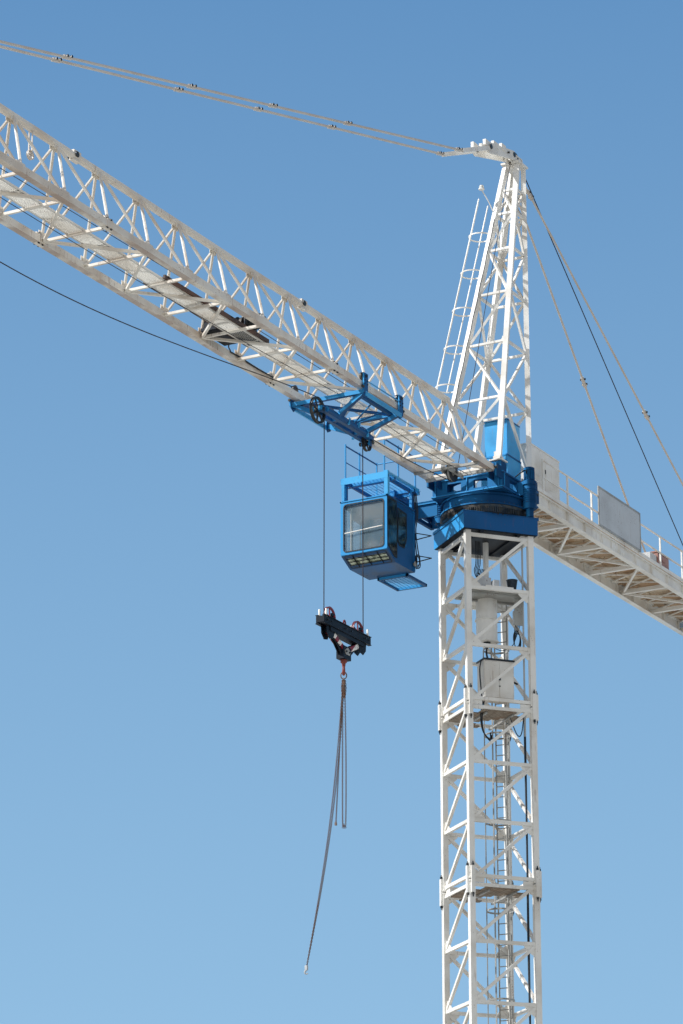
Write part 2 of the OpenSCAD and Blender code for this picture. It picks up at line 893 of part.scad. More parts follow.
module hoist_winch() {
    z = jib_level + counter_beam / 2 + floor_thickness + 2 * seat;
    union() {
        block([winch_x + 200, 0, z], [1100, 700, 50]);
        for (s = [-1, 1])
            block([winch_x, s * 262, z + 40], [420, 30, 430]);
        disc_y([winch_x, 0, winch_axis], winch_drum, 500);
        disc_y([winch_x, 245, winch_axis], winch_drum + 25, 24);
        disc_y([winch_x, -245, winch_axis], winch_drum + 25, 24);
        block([winch_x + 550, 120, z + 40], [380, 330, 330]);
    }
}

module counterweights() {
    for (k = [0:weight_slabs - 1])
        union() {
            x = counter_end + 60 + (k + 0.5) * slab_pitch;
            block([x, 0, jib_level - slab_height + 150], [slab_thickness, slab_width, slab_height]);
            block([x, 0, jib_level + counter_beam / 2 + seat], [90, counter_width + 90, 60]);
        }
}

cab_top = jib_level - cab_drop;
cab_back = cab_front - cab_length;
cab_y = -cab_side - cab_width / 2;
floor_level = cab_top - cab_height;

// Outrigger arms, hangers and the mesh deck over the cab
module cab_platform() {
    z = jib_level - 250;
    x0 = cab_back - 40;
    near = -cab_side - 20;
    far = -cab_side - cab_width + 20;
    union() {
        block([cab_back + 330, cab_y, z + 48], [960, cab_width + 60, 12]);
        for (y = [near + 34, far - 34])
            block([cab_back + 330, y, z], [956, 28, 55]);
        for (x = [x0 - 94, cab_back + 794])
            block([x, cab_y, z + 2], [24, cab_width + 40, 51]);
        for (x = [cab_back + 10, cab_back + 600])
            block([x, cab_y, z + 10], [50, cab_width + 10, 43]);
        for (x = [-160, 360])
            translate([x - 35, -cab_side - 325, deck_base + 3])
                cube([70, cab_side + 325 - deck_size / 2 - seat, z + 46 - deck_base - 3]);
        translate([-205, -cab_side - 340, z - 42])
            cube([cab_back + 100 + 205, 74, 94]);
        for (x = [cab_back + 20, cab_front - 60])
            for (y = [-cab_side - 40, -cab_side - cab_width + 40])
                block([x, y, cab_top + seat], [46, 46, z - cab_top + 54]);
        for (x = [x0 - 92, cab_back + 380, cab_front - 24])
            for (y = [near + 36, far - 36])
                block([x, y, z + 20], [18, 18, 558]);
        for (y = [near + 36, far - 36]) {
            bar([x0 - 92, y, z + 572], [cab_front - 24, y, z + 572], 22);
            bar([x0 - 92, y, z + 330], [cab_front - 24, y, z + 330], 14);
        }
        bar([x0 - 92, near + 36, z + 572], [x0 - 92, far - 36, z + 572], 16);
    }
}

// Side outline of the cab, seen along +Y
function cab_outline(t) = [[cab_back + t, floor_level + t], [cab_front - chin_depth - t * 0.3, floor_level + t],
    [cab_front - t, floor_level + chin_height + t * 0.6], [cab_front - t, cab_top - t], [cab_back + t, cab_top - t]];

module cab_prism(t, y0, w) {
    translate([0, y0 + w, 0])
        rotate([90, 0, 0])
            linear_extrude(height = w)
                polygon(cab_outline(t));
}

// Hollow cab with window openings in its front and both sides
module cab_body() {
    y0 = -cab_side - cab_width;
    difference() {
        cab_prism(0, y0, cab_width);
        cab_prism(cab_wall, y0 + cab_wall, cab_width - 2 * cab_wall);
        translate([cab_front - 100, y0 + 45, floor_level + chin_height + 35])
            cube([200, cab_width - 90, cab_height - chin_height - 80]);
        translate([cab_front - 210, y0 - 10, floor_level + chin_height + 60])
            cube([150, cab_width + 20, cab_height - chin_height - 110]);
        translate([cab_front - 560, y0 - 10, floor_level + chin_height + 180])
            cube([260, cab_width + 20, 440]);
        translate([cab_front - chin_depth / 2, y0 + 60, floor_level + chin_height / 2])
            rotate([0, atan2(chin_height, chin_depth), 0])
                translate([-130, 0, -60])
                    cube([270, cab_width - 120, 120]);
    }
}

module cab_glass() {
    y0 = -cab_side - cab_width;
    translate([cab_front - 16, y0 + 45 + seat, floor_level + chin_height + 35 + seat])
        cube([glass_thickness, cab_width - 90 - 2 * seat, cab_height - chin_height - 80 - 2 * seat]);
    for (y = [y0 + 9, -cab_side - 9 - glass_thickness]) {
        translate([cab_front - 210 + seat, y, floor_level + chin_height + 60 + seat])
            cube([150 - 2 * seat, glass_thickness, cab_height - chin_height - 110 - 2 * seat]);
        translate([cab_front - 560 + seat, y, floor_level + chin_height + 180 + seat])
            cube([260 - 2 * seat, glass_thickness, 440 - 2 * seat]);
    }
}

module cab_seat() {
    z = floor_level + cab_wall + seat;
    union() {
        block([cab_back + 270, cab_y, z], [160, 160, 190]);
        block([cab_back + 270, cab_y, z + 180], [260, 250, 60]);
        block([cab_back + 160, cab_y, z + 220], [50, 240, 320]);
        for (s = [-1, 1])
            block([cab_back + 330, cab_y + s * 180, z], [240, 90, 300]);
    }
}

// Mesh step at the cab's rear, reaching back to the mast
module cab_step() {
    z = floor_level - 20;
    y0 = -cab_side - cab_width;
    union() {
        difference() {
            translate([cab_back - 560, y0 + 150, z - 30])
                cube([600, 480, 40]);
            translate([cab_back - 530, y0 + 180, z - 31])
                cube([540, 420, 32]);
        }
        for (y = [y0 + 190, y0 + 550])
            translate([cab_back - 60, y, z - 28])
                cube([40, 40, 290]);
        for (y = [y0 + 194, y0 + 554])
            translate([cab_back - 58, y, z + 220])
                cube([57.7, 32, 36]);
    }
}

wheel_z = jib_level + chord_size / 2 + bearing_gap + wheel_radius;
wheel_y = half_jib + 32;
frame_z = jib_level - chord_size / 2 - 55;
sheave_z = jib_level - 370;
fall_spread = 525;
block_x = trolley_x + 80;
fall_a = block_x + fall_spread;
fall_b = block_x - fall_spread;
fall_lift = rope_radius + seat;
groove = 0.22 * 44;
big_x = fall_a + big_sheave - groove + fall_lift;
small_x = fall_b - small_sheave + groove - fall_lift;

module trolley_frame() {
    beam_z = sheave_z + 23;
    union() {
        for (sx = [-1, 1])
            for (sy = [-1, 1]) {
                x = trolley_x + sx * wheel_base / 2;
                block([x, sy * (wheel_y + 45), frame_z - 30], [110, 20, wheel_z - frame_z + 70]);
                bar([x, sy * (wheel_y + 45), frame_z], [trolley_x + sx * 380, sy * 70, beam_z + 20], 54);
            }
        for (sx = [-1, 1])
            bar([trolley_x + sx * wheel_base / 2, -wheel_y - 45, frame_z], [trolley_x + sx * wheel_base / 2, wheel_y + 45, frame_z], 54);
        for (sy = [-1, 1])
            bar([trolley_x - wheel_base / 2, sy * (half_jib - 60), frame_z], [trolley_x + wheel_base / 2, sy * (half_jib - 60), frame_z], 44);
        bar([trolley_x - wheel_base / 2, -half_jib + 60, frame_z], [trolley_x + wheel_base / 2, half_jib - 60, frame_z], 34);
        bar([trolley_x - wheel_base / 2, half_jib - 60, frame_z], [trolley_x + wheel_base / 2, -half_jib + 60, frame_z], 34);
        for (sy = [-1, 1])
            bar([small_x - 40, sy * 62, beam_z], [big_x + 40, sy * 62, beam_z], 60);
        for (x = [trolley_x - 300, trolley_x + 300])
            block([x, 0, beam_z - 24], [60, 130, 45]);
        disc_y([big_x, 0, sheave_z], 22, 110);
        disc_y([small_x, 0, sheave_z - 50], 18, 124);
        for (sy = [-1, 1])
            block([small_x, sy * 56, sheave_z - 82], [66, 20, 97]);
    }
}

module trolley_wheels() {
    for (sx = [-1, 1])
        for (sy = [-1, 1]) {
            x = trolley_x + sx * wheel_base / 2;
            union() {
                disc_y([x, sy * wheel_y, wheel_z], wheel_radius, 34);
                disc_y([x, sy * (wheel_y + 18 - 0.15), wheel_z], 18, 33.7);
            }
        }
}

module trolley_sheaves() {
    sheave_y([big_x, 0, sheave_z], big_sheave, 44, 22.4);
    sheave_y([small_x, 0, sheave_z - 50], small_sheave, 44, 18.4);
}

sheave_axis = block_level + 140;
sheave_spread = fall_spread - block_sheave - fall_lift;

// One fall at each end, from the trolley's sheaves to the block's
module rope_falls() {
    translate([fall_a, 0, sheave_axis])
        cylinder(r = rope_radius, h = sheave_z - sheave_axis, $fn = 8);
    translate([fall_b, 0, sheave_axis])
        cylinder(r = rope_radius, h = sheave_z - 50 - sheave_axis, $fn = 8);
}

module block_beam() {
    for (s = [-1, 1])
        translate([block_x - block_length / 2, s * 48 - 14, block_level])
            cube([block_length, 28, 110]);
    for (x = [-block_length / 2 + 30, block_length / 2 - 30, -70, 70])
        block([block_x + x, 0, block_level + 10], [50, 90, 90]);
    for (x = [-sheave_spread, sheave_spread])
        for (s = [-1, 1])
            block([block_x + x, s * 48, block_level + 90], [80, 24, 90]);
}

module block_sheaves() {
    for (x = [-sheave_spread, sheave_spread])
        union() {
            disc_y([block_x + x, 0, sheave_axis], block_sheave, 34);
            disc_y([block_x + x, 0, sheave_axis], 12, 71.4);
        }
}

// V arms that gather the block's load to the hook's plate
module block_arms() {
    plate = block_level - 340;
    union() {
        for (s = [-1, 1])
            bar([block_x + s * 420, 0, block_level - 30], [block_x + s * 60, 0, plate + 150], 56);
        block([block_x, 0, block_level - 60], [900, 120, 59.7]);
        difference() {
            block([block_x, 0, plate], [200, 110, 170]);
            translate([block_x, 0, plate - 1])
                cylinder(r = 31, h = 120);
        }
    }
}

module hook() {
    top = block_level - 340 - bearing_gap;
    translate([block_x, 0, 0])
        union() {
            translate([0, 0, top - 70])
                cylinder(r = 52, h = 70);
            translate([0, 0, top - 190])
                cylinder(r = 30.3, h = 285);
            translate([0, 12, top - 270])
                rotate([0, 90, 0])
                    translate([0, 0, -22])
                        difference() {
                            cylinder(r = 92, h = 44);
                            translate([0, 0, -1])
                                cylinder(r = 48, h = 46);
                            translate([-30, -120, -1])
                                cube([60, 75, 46]);
                        }
        }
}

sling_top = block_level - 345 - 270 - 48 - 60;
sling_dir = [0.486, -0.874];

// Chain slings as plain links of rod, hung from a ring on the hook
module chain_slings() {
    translate([block_x, 0, 0])
        union() {
            translate([0, 12, sling_top + 27.4])
                rotate([90, 0, 0])
                    translate([0, 0, -9])
                        difference() {
                            cylinder(r = 62, h = 18);
                            translate([0, 0, -1])
                                cylinder(r = 44, h = 20);
                        }
            bar([0, 12, sling_top - 30], [sling_reach * sling_dir[0], sling_reach * sling_dir[1], sling_top - 3600], 34, 6);
            bar([14, 12, sling_top - 30], [110, -190, sling_top - 1750], 30, 6);
            bar([-14, 12, sling_top - 30], [-40, 12, sling_top - 1780], 28, 6);
            bar([-14, 20, sling_top - 30], [24, 60, sling_top - 1780], 28, 6);
            bar([-40, 12, sling_top - 1770], [24, 60, sling_top - 1770], 28, 6);
            block([0, 12, sling_top - 60], [80, 40, 60]);
        }
}

base_cross();
mast_legs();
mast_sides_a();
mast_sides_b();
mast_ladder();
rest_platforms();
collector_column();
mast_cabinet();
power_cable();
mast_collar();
slewing_ring();
turntable();
slewing_gear();
head_housing();
head_legs();
head_side_lacing();
head_face_lacing();
head_apex();
head_ladder();
pendant_links();
jib_pendants();
rear_pendants();
hoist_rope();
jib_top_chord();
jib_bottom_chords();
jib_side_lacing();
jib_bottom_lacing();
jib_walkway();
trolley_winch();
jib_tip();
root_sheave();
counter_jib_beams();
counter_jib_floor();
counter_jib_railings();
sign_panel();
electrical_cabinet();
ballast_box();
hoist_winch();
counterweights();
cab_platform();
cab_body();
cab_glass();
cab_seat();
cab_step();
trolley_frame();
trolley_wheels();
trolley_sheaves();
rope_falls();
block_beam();
block_sheaves();
block_arms();
hook();
chain_slings();
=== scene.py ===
"""Looks of the tower crane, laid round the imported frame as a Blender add-on that runs as a script."""

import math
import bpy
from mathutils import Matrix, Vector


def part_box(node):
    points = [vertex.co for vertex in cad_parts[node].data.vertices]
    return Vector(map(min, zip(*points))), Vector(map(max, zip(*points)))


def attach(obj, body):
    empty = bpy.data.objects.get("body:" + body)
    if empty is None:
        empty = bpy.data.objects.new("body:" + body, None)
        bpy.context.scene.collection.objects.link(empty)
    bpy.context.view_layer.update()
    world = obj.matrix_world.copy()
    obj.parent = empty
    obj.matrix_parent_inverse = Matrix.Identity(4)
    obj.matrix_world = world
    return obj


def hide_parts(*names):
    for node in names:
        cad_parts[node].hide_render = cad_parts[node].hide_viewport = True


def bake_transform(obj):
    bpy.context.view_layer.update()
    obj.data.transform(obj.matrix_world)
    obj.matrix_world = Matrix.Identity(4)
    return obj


bl_info = {
    "name": "Tower Crane Dressing",
    "version": (1, 0, 0),
    "blender": (4, 5, 0),
    "location": "View3D > Sidebar > Crane",
    "description": "Dresses the packed tower crane with its finishes and fittings",
    "category": "Object",
}

import bmesh
import bpy
import numpy as np
from bpy.props import FloatProperty, FloatVectorProperty, IntProperty, PointerProperty

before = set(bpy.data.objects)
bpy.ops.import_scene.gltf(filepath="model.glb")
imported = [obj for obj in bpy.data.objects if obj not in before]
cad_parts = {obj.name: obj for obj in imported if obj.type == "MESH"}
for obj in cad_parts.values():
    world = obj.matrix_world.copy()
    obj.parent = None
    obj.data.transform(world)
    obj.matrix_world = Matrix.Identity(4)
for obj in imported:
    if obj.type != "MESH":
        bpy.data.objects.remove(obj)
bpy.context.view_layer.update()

# Places on the model in metres, as the construction gives them. A plain name is the height, distance or point
# of that piece. A name with _WRAP is the distance from a sheave's or drum's axis to the rope's centre line.
JIB = 16.3
TURN = math.radians(49.4)
HALF_MAST = 0.4775
BASE = 0.465
SECTION = 2.5
PANEL = SECTION / 3
JOINTS = BASE + SECTION * np.arange(1, 6)
TOP_JOINT = BASE + SECTION * 5
MAST_TOP = 15.465
ROOT = 0.735
BAY = 0.9
BAYS = 20
HALF_JIB = 0.4775
TOP_CHORD = JIB + 0.97
JIB_END = ROOT + BAYS * BAY
HEAD_TOP = JIB + 5.4
RAKE = 1.15
APEX = np.array([-RAKE, 0, HEAD_TOP + 0.16])
APEX_WRAP = 0.0923
ROOT_X, ROOT_Z = ROOT + 0.295, JIB - 0.09
ROOT_WRAP = 0.1283
TIP_X, TIP_Z = JIB_END + 0.12, JIB + 0.02
TIP_WRAP = 0.0883
DRUM = np.array([-7.75, 0, JIB + 0.3926])
DRUM_WRAP = 0.1983
REAR_HALF = 0.43
SPLICES = (-3.6, -6.4)
CAB_FRONT, CAB_BACK = 1.745, 0.93
CAB_WIDTH = 0.73
CAB_NEAR, CAB_FAR = -0.65, -0.65 - CAB_WIDTH
CAB_MIDDLE = (CAB_NEAR + CAB_FAR) / 2
CAB_TOP = JIB - 0.525
CAB_FLOOR = CAB_TOP - 0.9
CHIN_X, CHIN_Z = 0.25, 0.125
TROLLEY = 4.08
AXLE = 0.49
SHEAVE_Z = JIB - 0.37
SMALL_Z = SHEAVE_Z - 0.05
MIDDLE = TROLLEY + 0.08
FALL = 0.525
FALL_OUT, FALL_IN = MIDDLE + FALL, MIDDLE - FALL
BIG, SMALL = 0.18, 0.11
GROOVE = 0.00968
ROPE_SEAT = 0.0083
BIG_X = FALL_OUT + BIG - GROOVE + ROPE_SEAT
SMALL_X = FALL_IN - SMALL + GROOVE - ROPE_SEAT
BLOCK = 13.05
BLOCK_SHEAVE, BLOCK_GROOVE = 0.14, 0.034
BLOCK_AXIS = BLOCK + BLOCK_SHEAVE
BLOCK_SPREAD = FALL - BLOCK_SHEAVE - ROPE_SEAT
SHANK_TOP = BLOCK - 0.3408
SLING_TOP = BLOCK - 0.723
DECK = JIB + 0.1126
X, Y, Z = np.eye(3)
SIGHT = np.array([math.cos(0.51), math.sin(0.51), 0])


def linear(hex_code):
    """The linear colour of an sRGB hex value: c / 12.92 near black and ((c + 0.055) / 1.055) ^ 2.4 above."""
    c = np.array([int(hex_code[i : i + 2], 16) for i in (1, 3, 5)]) / 255
    return tuple(np.where(c <= 0.04045, c / 12.92, ((c + 0.055) / 1.055) ** 2.4).tolist())


def length(name, default, words):
    """A length that a user may change."""
    return FloatProperty(name=name, description=words, default=default, min=0.0005, unit="LENGTH")


def colour(name, hex_code, words):
    """A colour that a user may change, given as an sRGB hex value."""
    return FloatVectorProperty(
        name=name, description=words, default=linear(hex_code), size=3, subtype="COLOR", min=0, max=1
    )


# Shapes: each is a pair of points (n, 3) and a list of face arrays


def joined(parts):
    """Puts pairs together: each part's indices move past the points before it."""
    points, faces, base = [], [], 0
    for p, f in parts:
        points.append(p)
        faces += [a + base for a in f]
        base += len(p)
    return np.concatenate(points), faces


def grid_faces(count, across, closed=False):
    """Quads of rows of rings, each ring closed on itself; the last row joins the first where closed."""
    i = np.arange(count if closed else count - 1)[:, None] * across
    j = np.arange(across)[None]
    k = (j + 1) % across
    n = count * across
    quads = np.stack([i + j, i + k, (i + k + across) % n, (i + j + across) % n], -1).reshape(-1, 4)
    return [quads] if closed else [
        quads,
        np.arange(across)[None, ::-1],
        n - across + np.arange(across)[None],
    ]


def across_of(ahead, ref=None):
    """Two directions square to each step ahead: u is ref crossed with ahead, v is ahead crossed with u."""
    ahead = ahead / np.linalg.norm(ahead, axis=-1, keepdims=True)
    ref = np.eye(3)[np.abs(ahead).max(0).argmin()] if ref is None else np.asarray(ref, float)
    u = np.cross(np.broadcast_to(ref, ahead.shape), ahead)
    u = u / np.linalg.norm(u, axis=-1, keepdims=True)
    return ahead, u, np.cross(ahead, u)


def sweep(outline, path, ref=None, closed=False):
    """A profile carried along a path: point + x u + y v for each profile point (x, y)."""
    path = np.asarray(path, float)
    step = np.roll(path, -1, 0) - np.roll(path, 1, 0) if closed else np.gradient(path, axis=0)
    ahead, u, v = across_of(step, ref)
    outline = np.broadcast_to(outline, (len(path),) + np.shape(outline)[-2:])
    points = path[:, None] + outline[..., :1] * u[:, None] + outline[..., 1:] * v[:, None]
    return points.reshape(-1, 3), grid_faces(len(path), outline.shape[1], closed)


def rows(*columns):
    """Points in rows from their coordinates, each of them a list or one number for all."""
    return np.stack(np.broadcast_arrays(*columns), -1)


def around(count):
    """Angles at equal steps of one turn."""
    return np.linspace(0, 2 * math.pi, count + 1)[:-1]


def both_ways(profile):
    """A profile (r, h) followed by its mirror image in h = 0."""
    return profile + [[r, -h] for r, h in profile[::-1]]


def circle(sides, radius=1.0, start=0.0):
    """Points (radius cos t, radius sin t) at equal steps of t."""
    t = start + np.arange(sides) * 2 * math.pi / sides
    return radius * rows(np.cos(t), np.sin(t))


def tube(path, radius, sides=8, ref=None, closed=False):
    """A circle carried along a path, with one radius or one for each point."""
    radius = np.broadcast_to(radius, len(path))
    return sweep(radius[:, None, None] * circle(sides), path, ref, closed)


def bars(a, b, width, sides=4):
    """Straight bars: at both ends a ring r (cos t u + sin t v), with v level and its flats a width apart."""
    a, b = np.atleast_2d(a).astype(float), np.atleast_2d(b).astype(float)
    a, b = np.broadcast_arrays(a, b)
    d = (b - a) / np.linalg.norm(b - a, axis=1, keepdims=True)
    v = np.cross(Z, d)
    flat = np.linalg.norm(v, axis=1) < 1e-6
    v = np.where(flat[:, None], Y, v)
    v = v / np.linalg.norm(v, axis=1, keepdims=True)
    u = np.cross(v, d)
    ring = circle(sides, 0.5 / math.cos(math.pi / sides), math.pi / sides)
    width = np.broadcast_to(width, len(a))[:, None, None]
    spread = width * (ring[None, :, :1] * u[:, None] + ring[None, :, 1:] * v[:, None])
    points = np.concatenate([a[:, None] + spread, b[:, None] + spread], 1)
    one = grid_faces(2, sides)
    base = np.arange(len(a))[:, None, None] * 2 * sides
    return points.reshape(-1, 3), [(f[None] + base).reshape(-1, f.shape[1]) for f in one]


def boxes(lo, hi):
    """Upright boxes between lowest and highest corners."""
    lo, hi = np.broadcast_arrays(np.atleast_2d(lo).astype(float), np.atleast_2d(hi).astype(float))
    pick = np.array(
        [[0, 0, 0], [1, 0, 0], [1, 1, 0], [0, 1, 0], [0, 0, 1], [1, 0, 1], [1, 1, 1], [0, 1, 1]]
    )
    points = lo[:, None] + pick[None] * (hi - lo)[:, None]
    quads = np.array([[0, 3, 2, 1], [4, 5, 6, 7], [0, 1, 5, 4], [1, 2, 6, 5], [2, 3, 7, 6], [3, 0, 4, 7]])
    base = np.arange(len(lo))[:, None, None] * 8
    return points.reshape(-1, 3), [(quads[None] + base).reshape(-1, 4)]


def block(at, size):
    """An upright box centred on a point."""
    at, size = np.asarray(at, float), np.asarray(size, float) / 2
    return boxes(at - size, at + size)


def prism(outline, at, u, v, depth):
    """A plate: outline points at + x u + y v, thickened by depth, half to each side."""
    outline, u, v = np.asarray(outline, float), np.asarray(u, float), np.asarray(v, float)
    n = np.cross(u, v) * depth / 2
    face = np.asarray(at, float) + outline[:, :1] * u + outline[:, 1:] * v
    return np.concatenate([face - n, face + n]), grid_faces(2, len(outline))


def lathe(profile, at=(0, 0, 0), axis=Z, sides=24, closed=False):
    """A profile (r, h) turned about an axis: at + h axis + r (cos t u + sin t v)."""
    profile = np.asarray(profile, float)
    axis, u, v = across_of(np.asarray([axis], float))
    ring = circle(sides)
    turn = ring[:, :1] * u + ring[:, 1:] * v
    points = np.asarray(at, float) + profile[:, None, 1:] * axis + profile[:, None, :1] * turn[None]
    return points.reshape(-1, 3), grid_faces(len(profile), sides, closed)


def copies(pair, at, axis=Z, ref=None):
    """The same shape at each point, with its own +Z turned to each axis."""
    at = np.atleast_2d(at).astype(float)
    axis = np.broadcast_to(axis, at.shape)
    d, u, v = across_of(axis, ref)
    points, faces = pair
    many = at[:, None] + points[None, :, :1] * u[:, None] + points[None, :, 1:2] * v[:, None]
    many = many + points[None, :, 2:] * d[:, None]
    base = np.arange(len(at))[:, None, None] * len(points)
    return many.reshape(-1, 3), [(f[None] + base).reshape(-1, f.shape[1]) for f in faces]


def bolt(radius, height):
    """A hexagon head on a round washer, standing on the level z = 0."""
    washer = lathe([[radius * 1.25, -0.002], [radius * 1.25, height * 0.25]], sides=10)
    head = lathe([[radius, 0], [radius, height * 0.9], [radius * 0.8, height]], sides=6)
    return joined([washer, head])


def moved(pair, turn=0.0, by=(0, 0, 0)):
    """The shape turned about the upright axis and then moved."""
    c, s = math.cos(turn), math.sin(turn)
    return pair[0] @ np.array([[c, s, 0], [-s, c, 0], [0, 0, 1]]) + np.asarray(by, float), pair[1]


def mirrored(pair):
    """The shape and its twin across the middle plane y = 0, whose faces are turned over."""
    return joined([pair, (pair[0] * (1, -1, 1), [f[:, ::-1] for f in pair[1]])])


def line(a, b, count):
    """Points at equal steps between two points."""
    t = np.linspace(0, 1, count)[:, None]
    return np.asarray(a, float) * (1 - t) + np.asarray(b, float) * t


def smooth_path(points, count):
    """A curve through the points: cubic Hermite pieces whose slopes are half the step between neighbours."""
    p = np.asarray(points, float)
    slope = np.gradient(p, axis=0)
    t = np.linspace(0, len(p) - 1.000001, count)
    i = t.astype(int)
    f = (t - i)[:, None]
    a, b, ma, mb = p[i], p[i + 1], slope[i], slope[i + 1]
    return (
        (2 * f**3 - 3 * f**2 + 1) * a
        + (f**3 - 2 * f**2 + f) * ma
        + (3 * f**2 - 2 * f**3) * b
        + (f**3 - f**2) * mb
    )


def hose(points, count, radius, sides=6):
    """A round cable along a smooth curve through the points."""
    return tube(smooth_path(points, count), radius, sides)


def flat_ring(r0, r1, h0, h1):
    """Profile (r, h) of a ring with square edges."""
    return [[r0, h0], [r1, h0], [r1, h1], [r0, h1]]


def sheave(at, radius, width, bore, spokes=6, groove=0.22):
    """A grooved wheel about +Y: closed rim and hub profiles (r, h) and flat spokes between them."""
    w, g = width / 2, radius - groove * width
    rim = [
        [radius * 0.84, -w * 0.5], [radius - 0.006, -w], [radius, -w], [radius, -w * 0.75], [g, -w * 0.3]
    ]
    hub = [[bore, -w], [bore * 2, -w]]
    t = np.arange(spokes) * 2 * math.pi / spokes + 0.3
    out = rows(np.cos(t), 0, np.sin(t))
    at = np.asarray(at, float)
    arms = bars(at + out * bore * 1.9, at + out * radius * 0.85, width * 0.42)
    return joined([lathe(both_ways(rim), at, Y, 40, True), lathe(both_ways(hub), at, Y, 20, True), arms])


def pins(at, radius, length, axis=Y):
    """Round pins with a wider head at both ends."""
    h, b = length / 2, radius * 1.35
    half = [[b, -h - 0.008], [b, -h], [radius, -h]]
    return copies(lathe(both_ways(half), sides=12), at, axis)


def rounded(wide, tall, radius, steps=5):
    """A rectangle's outline with round corners: corner centres plus r (cos t, sin t), a quarter turn each."""
    t = np.arange(4)[:, None] * math.pi / 2 + np.linspace(0, math.pi / 2, steps)[None]
    corner = np.array(flat_ring(1, -1, 1, -1)) * (wide / 2 - radius, tall / 2 - radius)
    return (corner[:, None] + radius * rows(np.cos(t), np.sin(t))).reshape(-1, 2)


def rim_between(outer, inner, at, u, v, depth):
    """A flat ring between two outlines of as many points, thickened by depth, half to each side."""
    n = np.cross(u, v) * depth / 2
    pairs = ((outer, -1), (outer, 1), (inner, 1), (inner, -1))
    rings = [np.asarray(at, float) + o[:, :1] * u + o[:, 1:] * v + s * n for o, s in pairs]
    return np.concatenate(rings), grid_faces(4, len(outer), True)


def window_rim(at, wide, tall, u, v, width, depth, radius=0.04):
    """A rounded rim round an opening."""
    return rim_between(
        rounded(wide + 2 * width, tall + 2 * width, radius + width), rounded(wide, tall, radius), at, u,
        v, depth
    )


def sagging(a, b, sag, count=40, lean=1.0):
    """A hanging line: the straight run less sag sin(pi t^lean) of height."""
    t = np.linspace(0, 1, count)
    return line(a, b, count) - Z * (sag * np.sin(math.pi * t**lean))[:, None]


def head_corner(sx, sy, t):
    """Corner of the head at height fraction t: from its foot at t = 0 to its top at t = 1."""
    x = (1 - t) * sx * 0.5 + t * (-RAKE + sx * 0.105)
    return rows(x, (1 - t) * sy * 0.47 + t * sy * 0.095, JIB + 0.15 + t * 5.25)


SLOT_FINISHES = {
    "white_steel": "white_enamel cream_enamel bar_enamel",
    "blue_steel": "blue_enamel shaded_enamel light_blue_enamel underside",
    "dark_steel": "greased_steel dark_enamel rusty_steel",
    "grey_steel": "grey_enamel sign_enamel chain_steel",
    "red_steel": "red_enamel hook_primer brick_enamel warning_stripes",
    "rope_steel": "wire_rope",
    "black_rubber": "black_rubber black_plastic",
    "old_wood": "old_planks floor_plate",
    "clear_glass": "cab_glass lower_glass side_glass lamp_glass",
    "red_vinyl": "seat_vinyl",
}
SLOT_OF = {name: slot for slot, names in SLOT_FINISHES.items() for name in names.split()}


def put(name, parts, coat, body="upper_works", stands_for=(), bevel=0.0, smooth=0.6, slot=None, turn=0.0):
    """Makes one object of the parts, with normals outward, that rides on a body, or is left unparented in
    place when two bodies and two points are given.
    A slot, named or taken from its finish, is not used."""
    points, faces = moved(joined(parts), turn) if turn else joined(parts)
    mesh = bpy.data.meshes.new(name)
    mesh.from_pydata(points.tolist(), [], [row for a in faces for row in a.tolist()])
    work = bmesh.new()
    work.from_mesh(mesh)
    bmesh.ops.recalc_face_normals(work, faces=work.faces)
    work.to_mesh(mesh)
    work.free()
    mesh.materials.append(FINISHES[coat])
    mesh.shade_smooth()
    mesh.set_sharp_from_angle(angle=smooth)
    piece = bpy.data.objects.new(name, mesh)
    bpy.context.scene.collection.objects.link(piece)
    if bevel:
        edge = piece.modifiers.new("rounded_edges", "BEVEL")
        edge.width = bevel
        edge.segments = 2
        edge.limit_method = "ANGLE"
        edge.angle_limit = 0.7
    slot = slot or SLOT_OF[coat]
    if isinstance(body, str):
        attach(piece, body)
    else:
        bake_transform(piece)
    if stands_for:
        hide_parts(*stands_for)
    return piece


# Finishes

FINISHES = {}


def add_node(tree, kind, settings=None, **links):
    """Adds a node, sets its properties, and gives each named input a value or another node's output."""
    made = tree.nodes.new(kind)
    for key, value in (settings or {}).items():
        setattr(made, key, value)
    for key, value in links.items():
        socket = made.inputs[int(key[1:])] if key[0] == "i" and key[1:].isdigit() else made.inputs[
            key.replace("_", " ")
        ]
        if isinstance(value, bpy.types.NodeSocket):
            tree.links.new(value, socket)
        else:
            socket.default_value = value
    return made


def finish(name, **fixed):
    """A named material with its shader, ready for links."""
    made = bpy.data.materials.new(name)
    made.use_nodes = True
    shader = made.node_tree.nodes["Principled BSDF"]
    for key, value in fixed.items():
        shader.inputs[key.replace("_", " ")].default_value = value
    FINISHES[name] = made
    return made.node_tree, shader


def place(tree, stretch=(1, 1, 1), turn=(0, 0, 0)):
    """Object coordinates, stretched and turned."""
    where = add_node(tree, "ShaderNodeTexCoord")
    return add_node(
        tree, "ShaderNodeMapping", Vector=where.outputs["Object"], Scale=stretch, Rotation=turn
    ).outputs[0]


def speckle(tree, vector, size, detail=3.0, low=0.45, high=0.6):
    """Noise with features of a size in metres, spread from black at low to white at high."""
    noise = add_node(tree, "ShaderNodeTexNoise", Vector=vector, Scale=1 / size, Detail=detail)
    spread = {"interpolation_type": "SMOOTHSTEP"}
    return add_node(
        tree, "ShaderNodeMapRange", spread, Value=noise.outputs["Fac"], From_Min=low, From_Max=high
    ).outputs[0]


def times(tree, a, b):
    """The product of two values."""
    return add_node(tree, "ShaderNodeMath", {"operation": "MULTIPLY"}, i0=a, i1=b).outputs[0]


